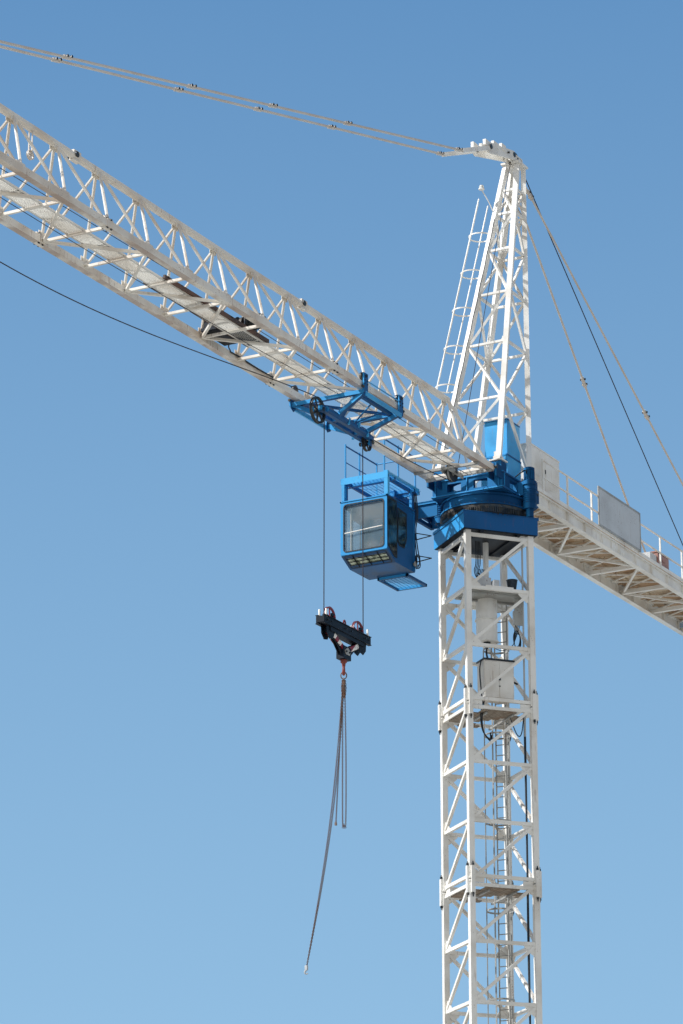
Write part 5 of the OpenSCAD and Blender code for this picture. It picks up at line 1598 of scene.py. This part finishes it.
def cab_sides():
    """Seals of the side windows, the rear door, brackets, disc, handles and cables."""
    z0 = CAB_FLOOR + CHIN_Z
    seal, skin, panes = [], [], {1: [], -1: []}
    for y, s in ((CAB_NEAR, 1), (CAB_FAR, -1)):
        quarter = np.array(
            [[0.13, 0.38], [-0.11, 0.375], [-0.13, 0], [-0.12, -0.42], [-0.05, -0.42], [0.13, -0.3]]
        )
        cut = np.array(
            [[0.12, -0.17], [0.12, 0.29], [-0.13, 0.27], [-0.13, -0.09], [-0.06, -0.23], [0.08, -0.23]]
        )
        for shape, back in ((quarter, 0.15), (cut, 0.43)):
            at = np.array([CAB_FRONT - back, y + s * 0.003, z0 + 0.375])
            seal.append(rim_between(shape * 1.06, shape * 0.97, at, X, Z, 0.012))
            panes[s].append(prism(shape, at, X, Z, 0.007))
        skin += [
            boxes(
                (CAB_BACK + 0.02, y - 0.004, CAB_TOP - 0.05), (CAB_FRONT - 0.01, y + 0.004, CAB_TOP - 0.042)
            ),
            boxes(
                (CAB_BACK - 0.004, y - 0.006, CAB_FLOOR + 0.01),
                (CAB_BACK + 0.03, y + 0.006, CAB_TOP - 0.01)
            ),
        ]
    door_at = (CAB_BACK - 0.004, CAB_MIDDLE, CAB_TOP - 0.46)
    skin.append(rim_between(rounded(0.56, 0.8, 0.02), rounded(0.53, 0.77, 0.02), door_at, Y, Z, 0.01))
    put("cab_side_seals", seal, "black_rubber")
    # Near panes take the dark painted glass; far panes take the clear glass.
    put("cab_near_panes", panes[1], "side_glass")
    put("cab_far_panes", panes[-1], "cab_glass")
    put("cab_skin_seams", skin, "blue_enamel")
    rear = []
    for z in (15.45, 15.12):
        p = np.array([CAB_BACK - 0.012, CAB_NEAR + 0.01, z])
        tip = p + (-0.02, 0.24, -0.07)
        rear.append(bars([p, p - Z * 0.1, p], [tip, tip, p - Z * 0.1], 0.012))
    rear.append(
        bars((CAB_BACK - 0.03, CAB_FAR + 0.14, 15.1), (CAB_BACK - 0.03, CAB_FAR + 0.14, 15.5), 0.016, 8)
    )
    rear += [block((CAB_BACK - 0.015, CAB_FAR + 0.14, z), (0.03, 0.02, 0.02)) for z in (15.11, 15.49)]
    for k in range(3):
        y = CAB_NEAR - 0.03 + 0.016 * k
        x = CAB_BACK - 0.02 - 0.012 * k
        path = [
            (x, y, 16.05), (x - 0.015, y + 0.02, 15.75), (x + 0.01, y, 15.5),
            (x - 0.01 * k, y + 0.01, 15.25), (x, y + 0.03 * k, 15.05 - 0.04 * k), (x + 0.02, y, 14.93)
        ]
        rear.append(hose(path, 40, 0.009))
    t = around(24)
    for k in range(3):
        ring = rows(
            CAB_BACK - 0.035 + 0.01 * k, CAB_NEAR + 0.03 + 0.035 * np.cos(t),
            15.06 + 0.08 * np.sin(t) - 0.02 * k
        )
        rear.append(tube(ring, 0.006, 6, X, True))
    put("cab_rear_fittings", rear, "black_plastic")
    horn = lathe(
        [[0.012, -0.03], [0.02, -0.02], [0.036, 0.0], [0.036, 0.006], [0.03, 0.008]],
        (CAB_BACK + 0.05, CAB_NEAR + 0.03, CAB_FLOOR + 0.1), Y, 24
    )
    put("cab_horn", [horn], "grey_enamel")


def cab_inside():
    """Padded seat on its pedestal, armrest consoles with levers, and a floor mat."""
    y = CAB_MIDDLE
    x = CAB_BACK
    z = CAB_FLOOR + 0.0243
    t = rounded(0.25, 0.24, 0.05, 6)
    pad = np.concatenate([rows(x + 0.27 + t[:, 0] * g, y + t[:, 1] * g, z + h) for g, h in SEAT_RINGS])
    cushion = [(pad, grid_faces(len(SEAT_RINGS), len(t)))]
    b = rounded(0.23, 0.32, 0.07, 6)
    back = np.concatenate(
        [rows(x + 0.135 + 1.6 * (h - 0.19), y + b[:, 0] * g, z + 0.38 + b[:, 1] * g) for g, h in BACK_RINGS]
    )
    seat = put(
        "seat_cushions", [*cushion, (back, grid_faces(len(BACK_RINGS), len(b)))], "seat_vinyl",
        stands_for=["cab_seat"]
    )
    dark = [lathe(
        [[0.09, 0], [0.09, 0.015], [0.035, 0.03], [0.035, 0.15], [0.08, 0.17], [0.08, 0.19]],
        (x + 0.27, y, z), Z, 20
    )]
    for s in (-1, 1):
        dark += [
            block((x + 0.33, y + s * 0.18, z + 0.24), (0.22, 0.085, 0.12)),
            block((x + 0.3, y + s * 0.18, z + 0.09), (0.09, 0.07, 0.18)),
            lathe(
                [[0.004, 0], [0.005, 0.06], [0.016, 0.07], [0.018, 0.09], [0.01, 0.105]],
                (x + 0.38, y + s * 0.18, z + 0.3), Z, 14
            ),
        ]
    dark += [
        boxes((x + 0.03, CAB_FAR + 0.03, z), (CAB_FRONT - CHIN_X - 0.02, CAB_NEAR - 0.03, z + 0.006)),
        block((x + 0.045, y, z + 0.3), (0.03, 0.3, 0.35)),
    ]
    put("cab_consoles", dark, "black_plastic", bevel=0.004)
    lining = [
        block((x + 0.03, CAB_NEAR - 0.06, CAB_TOP - 0.06), (0.012, 0.06, 0.05)),
        bars(
            (CAB_FRONT - 0.04, CAB_NEAR - 0.032, CAB_FLOOR + 0.16),
            (CAB_FRONT - 0.04, CAB_NEAR - 0.032, CAB_TOP - 0.03), 0.014
        ),
        bars(
            (CAB_FRONT - 0.22, CAB_FAR + 0.034, CAB_FLOOR + 0.06),
            (CAB_FRONT - 0.22, CAB_FAR + 0.034, CAB_TOP - 0.03), 0.02
        ),
    ]
    put("cab_lining", lining, "cream_enamel")


def cab_platform():
    """Beams, arms, hangers, posts and rails of the platform, with a grating in place of a closed deck."""
    z = JIB - 0.25
    near, far = CAB_NEAR - 0.02, CAB_FAR + 0.02
    c = CAB_BACK + 0.33
    x0, x1 = CAB_BACK - 0.134, CAB_BACK + 0.794
    steel = []
    braces = []
    for side in (near - 0.034, far + 0.034):
        steel.append(block((c, side, z + 0.0275), (0.956, 0.028, 0.055)))
        for x in (x0 + 0.002, CAB_BACK + 0.38, CAB_FRONT - 0.024):
            steel.append(bars((x, side, z + 0.02), (x, side, z + 0.598), 0.018))
        for h, w in ((0.572, 0.022), (0.33, 0.014)):
            steel.append(bars((x0, side, z + h), (CAB_FRONT - 0.024, side, z + h), w, 8))
    steel.append(
        bars((x0 + 0.002, near - 0.036, z + 0.572), (x0 + 0.002, far + 0.036, z + 0.572), 0.016, 8)
    )
    for x in (x0, x1, CAB_BACK + 0.01, CAB_BACK + 0.6):
        wide = 0.024 if x in (x0, x1) else 0.05
        steel.append(block((x, CAB_MIDDLE, z + 0.0275), (wide, CAB_WIDTH + 0.02, 0.048)))
    for x in (-0.16, 0.36):
        steel += [
            boxes((x - 0.035, CAB_NEAR - 0.325, z - 0.001), (x + 0.035, -0.5555, z + 0.046)),
            boxes((x - 0.045, -0.573, z - 0.03), (x + 0.045, -0.5555, z + 0.09)),
        ]
    steel.append(boxes((-0.205, CAB_NEAR - 0.34, z - 0.042), (CAB_BACK + 0.1, CAB_NEAR - 0.266, z + 0.052)))
    for x in (CAB_BACK + 0.02, CAB_FRONT - 0.06):
        for side in (CAB_NEAR - 0.04, CAB_FAR + 0.04):
            steel += [
                boxes((x - 0.023, side - 0.023, CAB_TOP + 0.0003), (x + 0.023, side + 0.023, z + 0.054)),
                boxes((x - 0.04, side - 0.04, CAB_TOP + 0.0143), (x + 0.04, side + 0.04, CAB_TOP + 0.024)),
            ]
    for x in (-0.16, 0.36):
        braces.append(boxes((x - 0.012, CAB_NEAR - 0.3, z - 0.19), (x + 0.012, -0.5735, z - 0.002)))
    for low in (-0.19, -0.09):
        braces.append(
            boxes((-0.205, CAB_NEAR - 0.33, z + low), (CAB_BACK - 0.05, CAB_NEAR - 0.28, z + low + 0.055))
        )
    for x in (-0.19, 0.1, 0.39, 0.62):
        braces.append(bars((x, CAB_NEAR - 0.305, z - 0.17), (x + 0.2, CAB_NEAR - 0.305, z - 0.01), 0.022))
    # Braces in the darker copy of the blue: painted shade on the truss under the platform.
    put("platform_braces", braces, "shaded_enamel", bevel=0.002)
    put("platform_frame", steel, "blue_enamel", stands_for=["cab_platform"], bevel=0.002)
    fascia = [
        boxes((x1 + 0.012, CAB_FAR - 0.01, z - 0.01), (x1 + 0.02, CAB_NEAR + 0.01, z + 0.085)),
        block((c, near + 0.018, z + 0.07), (0.96, 0.006, 0.05)),
    ]
    for side, w, top in ((CAB_NEAR - 0.02, 0.028, 0.1), (CAB_FAR + 0.025, 0.022, 0.0)):
        fascia.append(
            boxes((CAB_FRONT - 0.06, side - w, CAB_TOP + 0.026), (CAB_FRONT - 0.002, side + w, z + top))
        )
    put("platform_fascia", fascia, "light_blue_enamel")
    put(
        "platform_grating", [cab_grating(c - 0.478, c + 0.478, CAB_FAR - 0.02, CAB_NEAR + 0.02, z + 0.055)],
        "light_blue_enamel"
    )


def cab_grating(x0, x1, y0, y1, z):
    """Flat bars both ways at the grating's pitch."""
    x = np.arange(x0, x1, sizes().mesh_pitch * 1.5)
    y = np.arange(y0, y1, sizes().mesh_pitch * 2)
    long = boxes(rows(x0, y - 0.0015, z), rows(x1, y + 0.0015, z + 0.01))
    cross = boxes(rows(x - 0.002, y0, z), rows(x + 0.002, y1, z + 0.008))
    return joined([long, cross])


def cab_step():
    """Mesh step behind the cab: angle frame, hangers and expanded mesh."""
    z = CAB_FLOOR - 0.02
    x0, y0 = CAB_BACK - 0.56, CAB_FAR + 0.15
    steel = []
    for y in (y0, y0 + 0.45):
        steel.append(boxes((x0, y, z - 0.03), (x0 + 0.6, y + 0.03, z + 0.01)))
    for x in (x0, x0 + 0.57):
        steel.append(boxes((x, y0, z - 0.03), (x + 0.03, y0 + 0.48, z + 0.01)))
    for y in (y0 + 0.042, y0 + 0.402):
        steel += [
            boxes((CAB_BACK - 0.058, y, z - 0.028), (CAB_BACK - 0.026, y + 0.032, z + 0.26)),
            boxes((CAB_BACK - 0.058, y, z + 0.22), (CAB_BACK - 0.0003, y + 0.032, z + 0.256)),
        ]
    put("step_frame", steel, "blue_enamel", stands_for=["cab_step"], bevel=0.002)
    put(
        "step_mesh", [cab_grating(x0 + 0.03, x0 + 0.57, y0 + 0.03, y0 + 0.45, z - 0.004)],
        "light_blue_enamel"
    )


class CRANE_OT_cab(bpy.types.Operator):
    """Windows, guards, fittings and seat of the cab, and the mesh decks beside it"""

    bl_idname = "crane.cab"
    bl_label = "Cab"

    def execute(self, context):
        cab_front()
        cab_sides()
        cab_inside()
        cab_platform()
        cab_step()
        return {"FINISHED"}


SEAT_RINGS = [
    (0.3, 0.185), (0.92, 0.185), (1.0, 0.2), (1.0, 0.225), (0.93, 0.243), (0.7, 0.25), (0.3, 0.252)
]
BACK_RINGS = [(0.3, 0.182), (0.9, 0.184), (1.0, 0.19), (1.0, 0.2), (0.92, 0.21), (0.5, 0.214)]


def trolley_fittings():
    """Sheaves, wheels, gussets, side rails, caps and bolts."""
    big, small = np.array([BIG_X, 0, SHEAVE_Z]), np.array([SMALL_X, 0, SMALL_Z])
    wheels = [sheave(big, BIG, 0.044, 0.0224, 7), sheave(small, SMALL, 0.044, 0.0184, 5)]
    put(
        "trolley_spoked_sheaves", wheels, "greased_steel", "trolley", stands_for=["trolley_sheaves"],
        smooth=0.5, slot="grey_steel"
    )
    z = (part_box("trolley_wheels")[0].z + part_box("trolley_wheels")[1].z) / 2
    half = [
        [0.012, -0.017], [0.05, -0.017], [0.062, -0.015], [0.062, 0.015], [0.05, 0.017], [0.03, 0.017],
        [0.028, 0.03], [0.018, 0.0345]
    ]
    parts = []
    for s in (-1, 1):
        at = np.array([[TROLLEY + sx * AXLE, s * (HALF_JIB + 0.032), z] for sx in (-1, 1)])
        parts.append(copies(lathe(half, sides=32), at, Y * s))
    put("trolley_flat_wheels", parts, "greased_steel", "trolley", stands_for=["trolley_wheels"])
    caps, plates = [], []
    for s in (-1, 1):
        at = np.array([[TROLLEY + sx * AXLE, s * (HALF_JIB + 0.087), z] for sx in (-1, 1)])
        caps.append(
            copies(lathe([[0.022, 0], [0.022, 0.008], [0.015, 0.014], [0.015, 0.02]], sides=20), at, Y * s)
        )
        ring = np.array([[x, s * 0.001, h] for x in (-0.036, 0.036) for h in (-0.06, -0.11)])
        caps += [copies(bolt(0.008, 0.01), p + ring, Y * s) for p in at]
        for sx in (-1, 1):
            end = np.array([TROLLEY + sx * AXLE, s * (HALF_JIB + 0.07), JIB - 0.1])
            outline = np.array(
                [[0.07, 0.03], [-0.07, 0.03], [-0.07, -0.06], [-0.03, -0.1], [0.05, -0.06]]
            ) * (sx, 1)
            plates.append(prism(outline, end, X, Z, 0.012))
    for x, z in ((BIG_X, SHEAVE_Z), (SMALL_X, SMALL_Z)):
        at = (x, 0.062 + 0.031, z)
        caps.append(mirrored(copies(lathe([[0.03, 0], [0.03, 0.01], [0.016, 0.014]], sides=20), at, Y)))
    for x in (TROLLEY - 0.3, TROLLEY, TROLLEY + 0.3):
        plates.append(mirrored(block((x, 0.0945, SHEAVE_Z + 0.023 + 0.02), (0.12, 0.006, 0.08))))
        caps.append(mirrored(copies(
            bolt(0.01, 0.012),
            [(x - 0.03, 0.097, SHEAVE_Z + 0.05), (x + 0.03, 0.097, SHEAVE_Z + 0.05)], Y
        )))
    for x in (TROLLEY - 0.22, TROLLEY + 0.22):
        caps.append(lathe(both_ways([[0.03, -0.05], [0.045, -0.04]]), (x, 0, SHEAVE_Z + 0.09), Y, 24))
        plates.append(mirrored(block((x, 0.058, SHEAVE_Z + 0.09), (0.09, 0.014, 0.09))))
    plates += [
        mirrored(tube(
            line((SMALL_X + 0.1, 0.075, SHEAVE_Z + 0.03), (BIG_X - 0.1, 0.075, SHEAVE_Z + 0.03), 4),
            0.042, 16
        )),
        mirrored(bars(
            [(TROLLEY - 0.02, 0.1, SHEAVE_Z + 0.05)] * 2,
            [(TROLLEY + 0.05, 0.4, JIB - 0.12), (TROLLEY - 0.3, 0.4, JIB - 0.12)], 0.018
        )),
    ]
    put("trolley_gussets", plates, "blue_enamel", "trolley", bevel=0.003)
    rails = [
        mirrored(boxes((TROLLEY - 0.5, 0.544, JIB - 0.17), (TROLLEY + 0.5, 0.566, JIB - 0.108))),
        mirrored(bars((TROLLEY - 0.47, 0.556, JIB + 0.045), (TROLLEY + 0.47, 0.556, JIB + 0.045), 0.014)),
    ]
    for x, h in ((-0.42, 0.05), (-0.16, 0.1), (0.1, 0.06), (0.36, 0.11)):
        rails += [
            mirrored(block((TROLLEY + x, 0.105, SHEAVE_Z + h), (0.05, 0.016, 0.05))),
            mirrored(block((TROLLEY + x + 0.04, 0.112, SHEAVE_Z + h - 0.05), (0.018, 0.03, 0.06))),
        ]
    put("trolley_side_rails", rails, "light_blue_enamel", "trolley", bevel=0.002)
    for x in (TROLLEY - 0.56, TROLLEY + 0.56):
        s = 1 if x > TROLLEY else -1
        at = [(x - s * 0.01, y, JIB - 0.06) for y in (-0.5545, 0.5545)]
        caps.append(copies(lathe([[0.02, -0.008], [0.02, 0.02], [0.014, 0.026]], sides=14), at, X * s))
    put("trolley_caps_and_bolts", caps, "greased_steel", "trolley")


class CRANE_OT_trolley(bpy.types.Operator):
    """Spoked sheaves, flanged wheels, gussets and bolts of the trolley"""

    bl_idname = "crane.trolley"
    bl_label = "Trolley"

    def execute(self, context):
        trolley_fittings()
        return {"FINISHED"}


def block_body():
    """Sheaves, eye, guide posts, flanges with struts, end plates, striped arms and bolts of the block."""
    x = np.array([MIDDLE - BLOCK_SPREAD, MIDDLE + BLOCK_SPREAD])
    wheels = [sheave((c, 0, BLOCK_AXIS), BLOCK_SHEAVE, BLOCK_GROOVE, 0.012, 5) for c in x]
    wheels.append(pins([(c, 0, BLOCK_AXIS) for c in x], 0.012, 0.15))
    put(
        "block_spoked_sheaves", wheels, "red_enamel", "hook_block", stands_for=["block_sheaves"], smooth=0.5
    )
    t = around(28)
    eye = tube(
        rows(MIDDLE - 0.02 + 0.026 * np.cos(t), 0, BLOCK + 0.155 + 0.045 * np.sin(t)), 0.011, 8, Y, True
    )
    put("block_eye", [eye], "red_enamel", "hook_block")
    at = [(MIDDLE + s * 0.555, y, BLOCK + 0.11) for s in (-1, 1) for y in (-0.05, 0.05)]
    at += [(MIDDLE - 0.3, -0.055, BLOCK + 0.11)]
    posts = copies(lathe([[0.014, -0.01], [0.014, 0.09], [0.009, 0.098]], sides=14), at)
    put("block_guide_posts", [posts], "white_enamel", "hook_block")
    long = 0.62
    flange = [
        mirrored(boxes((MIDDLE - long, 0.028, BLOCK + h), (MIDDLE + long, 0.075, BLOCK + h + 0.01)))
        for h in (-0.005, 0.105)
    ]
    for s in (-1, 1):
        cheek = np.array(
            [[0.31, 0], [0.53, 0], [0.52, -0.1], [0.45, -0.17], [0.36, -0.15], [0.31, -0.06]]
        ) * (s, 1)
        flange.append(mirrored(prism(cheek, (MIDDLE, 0.04, BLOCK), X, Z, 0.01)))
        strut = np.array(
            [[0.43, -0.004], [0.34, -0.004], [0.056, -0.25], [0.056, -0.325], [0.075, -0.315]]
        ) * (s, 1)
        flange.append(mirrored(prism(strut, (MIDDLE, 0.022, BLOCK), X, Z, 0.01)))
    put("block_flanges", flange, "dark_enamel", "hook_block", bevel=0.002)
    end = [block((MIDDLE + s * (long + 0.002), 0, BLOCK + 0.055), (0.008, 0.12, 0.08)) for s in (-1, 1)]
    put("block_end_plates", end, "dark_enamel", "hook_block")
    plate = np.array([[0, 0.05], [0.075, 0.0], [0.05, -0.05], [-0.05, -0.05], [-0.075, 0.0]])
    put(
        "block_plates", [mirrored(prism(plate, (MIDDLE, 0.059, BLOCK - 0.23), X, Z, 0.008))],
        "grey_enamel", "hook_block"
    )
    arms = []
    for s in (-1, 1):
        a, b = np.array([MIDDLE + s * 0.40, 0.036, BLOCK - 0.045]), np.array(
            [MIDDLE + s * 0.075, 0.036, BLOCK - 0.195]
        )
        along = (b - a) / np.linalg.norm(b - a)
        side = np.cross(Y, along)
        half = np.linalg.norm(b - a) / 2
        shape = np.array(flat_ring(-half, half, -0.032, 0.032))
        arms.append(mirrored(prism(shape, (a + b) / 2, along, side, 0.012)))
    put("block_striped_arms", arms, "warning_stripes", "hook_block", bevel=0.002)
    at = [(MIDDLE + c, 0.0765, BLOCK + 0.055) for c in (-0.55, -0.45, -0.07, 0.07, 0.45, 0.55)]
    at += [(MIDDLE + c, 0.064, BLOCK - 0.24) for c in (-0.04, 0.04)]
    put("block_bolts", [mirrored(copies(bolt(0.011, 0.012), at, Y))], "greased_steel", "hook_block")


def block_falls():
    """Rope falls that stretch between trolley and block, and the rope's arcs round the sheaves."""
    r = sizes().rope / 2
    starts = ((FALL_OUT, SHEAVE_Z), (FALL_IN, SMALL_Z))
    hang = [tube(line((x, 0, z), (x, 0, BLOCK_AXIS), 30), r, 8) for x, z in starts]
    ends = ("trolley", "hook_block", (MIDDLE, 0, SHEAVE_Z), (MIDDLE, 0, BLOCK_AXIS))
    put("hoist_rope_falls", hang, "wire_rope", ends, stands_for=["rope_falls"])
    t = np.linspace(0, math.pi / 2, 14)
    w = BIG - GROOVE + ROPE_SEAT
    v = SMALL - GROOVE + ROPE_SEAT
    over = [
        tube(rows(BIG_X - w * np.cos(t), 0, SHEAVE_Z + w * np.sin(t)), r, 8),
        tube(rows(SMALL_X + v * np.cos(t), 0, SMALL_Z + v * np.sin(t)), r, 8),
    ]
    put("rope_over_sheaves", over, "wire_rope", "trolley")
    q = BLOCK_SHEAVE + ROPE_SEAT - 0.22 * BLOCK_GROOVE
    x0, x1 = MIDDLE - BLOCK_SPREAD, MIDDLE + BLOCK_SPREAD
    under = np.concatenate([
        rows(x0 - q * np.cos(t), 0, BLOCK_AXIS - q * np.sin(t)),
        rows(x1 + q * np.sin(t), 0, BLOCK_AXIS - q * np.cos(t)),
    ])
    put("rope_under_block", [tube(under, r, 8)], "wire_rope", "hook_block")


def block_hook():
    """Forged hook: shank with collar, a body in SIGHT's plane that thins toward its tip, and a latch."""
    c = np.array([MIDDLE, 0.0, SHANK_TOP])
    shank = [
        [0.016, -0.1], [0.022, -0.08], [0.026, -0.045], [0.042, -0.035], [0.042, 0.0],
        [0.0302, 0.0], [0.03, 0.09]
    ]
    parts = [lathe(shank, c, Z, 28)]
    t = np.linspace(math.radians(95), math.radians(-200), 48)
    centre = np.array([MIDDLE, 0.0, SHANK_TOP - 0.145])
    path = centre + 0.042 * (np.cos(t)[:, None] * SIGHT + np.sin(t)[:, None] * Z)
    share = np.linspace(0, 1, len(path))
    thick = 0.016 + 0.006 * np.sin(math.pi * share) - 0.011 * np.clip(share - 0.82, 0, 1) / 0.18
    parts.append(tube(path, thick, 14, np.cross(SIGHT, Z)))
    put("forged_hook", parts, "hook_primer", "hook_and_slings", stands_for=["hook"])
    latch = [bars(centre - SIGHT * 0.022 + Z * 0.037, centre - SIGHT * 0.04 - Z * 0.008, 0.01, 6)]
    put("hook_latch", latch, "greased_steel", "hook_and_slings")


def block_chains():
    """Chain strands: oval links turned a quarter each, a ring, hooks and shorteners."""
    top = SHANK_TOP - 0.269
    m = np.array([MIDDLE, 0, top])
    end = np.array([0.486 * 0.47, -0.874 * 0.47, SLING_TOP - 3.76 - top])
    right = np.array([-0.486, 0.874, 0])
    bow = np.sin(np.linspace(0, math.pi, 200))[:, None] * right
    strands = []
    for off in (-1, 1):
        strands.append(m + line(off * 0.008 * right, end + Z * 0.12, 200) + bow * (0.07 + off * 0.007))
    single = np.array([0.049, -0.088, -1.9])
    strands.append(m + line((0.004, -0.008, 0), single, 130))
    loop = [
        (0.005, -0.01, 0), (0.007, -0.014, -1.0), (0.007, -0.012, -1.87), (0, 0.005, -1.91),
        (-0.013, 0.022, -1.87), (-0.014, 0.025, -1), (-0.006, 0.01, 0)
    ]
    strands.append(m + smooth_path(loop, 300))
    short = np.array(
        [(0.02, 0.01, 0), (0.022, 0.02, -0.12), (0.0, 0.012, -0.25), (-0.02, 0.0, -0.12), (-0.01, -0.01, 0)]
    )
    strands += [m + smooth_path(short * turn, 60) for turn in ((1, 1, 1), (-1, 1, 0.9), (0.6, -1.2, 0.8))]
    put(
        "sling_chains", [block_links(s) for s in strands], "chain_steel", "hook_and_slings",
        stands_for=["chain_slings"], smooth=1.0
    )
    t = around(32)
    square = np.cross(SIGHT, Z)
    ring = m + Z * 0.062 + 0.038 * np.cos(t)[:, None] * square + 0.048 * np.sin(t)[:, None] * Z
    small = m + Z * 0.006 + 0.02 * np.cos(t)[:, None] * SIGHT + 0.022 * np.sin(t)[:, None] * Z
    iron = [tube(ring, 0.008, 8, SIGHT, True), tube(small, 0.007, 8, square, True)]
    tip = m + end + Z * 0.12
    s = np.linspace(math.radians(95), math.radians(-150), 26)
    curve = tip - Z * 0.055 + 0.021 * (np.cos(s)[:, None] * square + np.sin(s)[:, None] * Z)
    pale = [tube(curve, np.linspace(0.013, 0.008, len(curve)), 8, SIGHT), block(tip, (0.034, 0.034, 0.06))]
    put("sling_end_hook", pale, "sign_enamel", "hook_and_slings", bevel=0.002)
    iron.append(block(m + single, (0.024, 0.026, 0.04)))
    for k, d in enumerate((0.05, 0.12, 0.19)):
        iron.append(block(m + (0.012 - 0.014 * k, 0.01 - 0.016 * k, -d), (0.02, 0.028, 0.05)))
    put("sling_fittings", iron, "chain_steel", "hook_and_slings", bevel=0.002)


def block_links(path):
    """Links at equal steps along a path, each a stadium outline and turned a quarter from the last."""
    pitch, wire, half = sizes().link, 0.0034, 0.0078
    gap = np.linalg.norm(np.diff(path, axis=0), axis=1)
    run = np.concatenate([[0], np.cumsum(gap)])
    count = int(run[-1] / pitch)
    s = (np.arange(count) + 0.5) * run[-1] / count
    at = rows(*(np.interp(s, run, path[:, i]) for i in range(3)))
    step = np.gradient(at, axis=0)
    t = (np.arange(10) + 0.5) * 2 * math.pi / 10
    shape = rows(half * np.cos(t), 0, half * np.sin(t) + np.sign(np.sin(t)) * (pitch / 2 - half + wire))
    one = tube(shape, wire, 4, Y, True)
    even = copies(one, at[::2], step[::2], (1, 0.2, 0))
    odd = copies(one, at[1::2], step[1::2], (-0.2, 1, 0))
    return joined([even, odd])


class CRANE_OT_hook_block(bpy.types.Operator):
    """Sheaves, posts, striped arms and eye of the block, its hook, the rope falls and the chain slings"""

    bl_idname = "crane.hook_block"
    bl_label = "Hook block"

    def execute(self, context):
        block_body()
        block_falls()
        block_hook()
        block_chains()
        return {"FINISHED"}


OPERATORS = [
    CRANE_OT_finishes,
    CRANE_OT_stage,
    CRANE_OT_mast,
    CRANE_OT_slewing,
    CRANE_OT_head,
    CRANE_OT_jib,
    CRANE_OT_counter_jib,
    CRANE_OT_cab,
    CRANE_OT_trolley,
    CRANE_OT_hook_block,
]


class CRANE_PT_panel(bpy.types.Panel):
    """Lists the crane's sizes, colours and steps."""

    bl_label = "Crane"
    bl_space_type = "VIEW_3D"
    bl_region_type = "UI"
    bl_category = "Crane"

    def draw(self, context):
        for group in (context.scene.crane_sizes, context.scene.crane_colours):
            column = self.layout.column()
            for key in group.bl_rna.properties.keys():
                if key not in ("rna_type", "name"):
                    column.prop(group, key)
        for made in OPERATORS:
            self.layout.operator(made.bl_idname)


CLASSES = [CraneColours, CraneSizes, *OPERATORS, CRANE_PT_panel]


def register():
    """Registers the classes and hangs the two groups on the scene."""
    for made in CLASSES:
        bpy.utils.register_class(made)
    bpy.types.Scene.crane_colours = PointerProperty(type=CraneColours)
    bpy.types.Scene.crane_sizes = PointerProperty(type=CraneSizes)


def unregister():
    """Takes the groups and classes away again."""
    del bpy.types.Scene.crane_sizes
    del bpy.types.Scene.crane_colours
    for made in reversed(CLASSES):
        bpy.utils.unregister_class(made)


def main():
    """Registers the add-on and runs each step."""
    register()
    for made in OPERATORS:
        step = made.bl_idname.split(".")[1]
        getattr(bpy.ops.crane, step)()


if __name__ == "__main__":
    main()
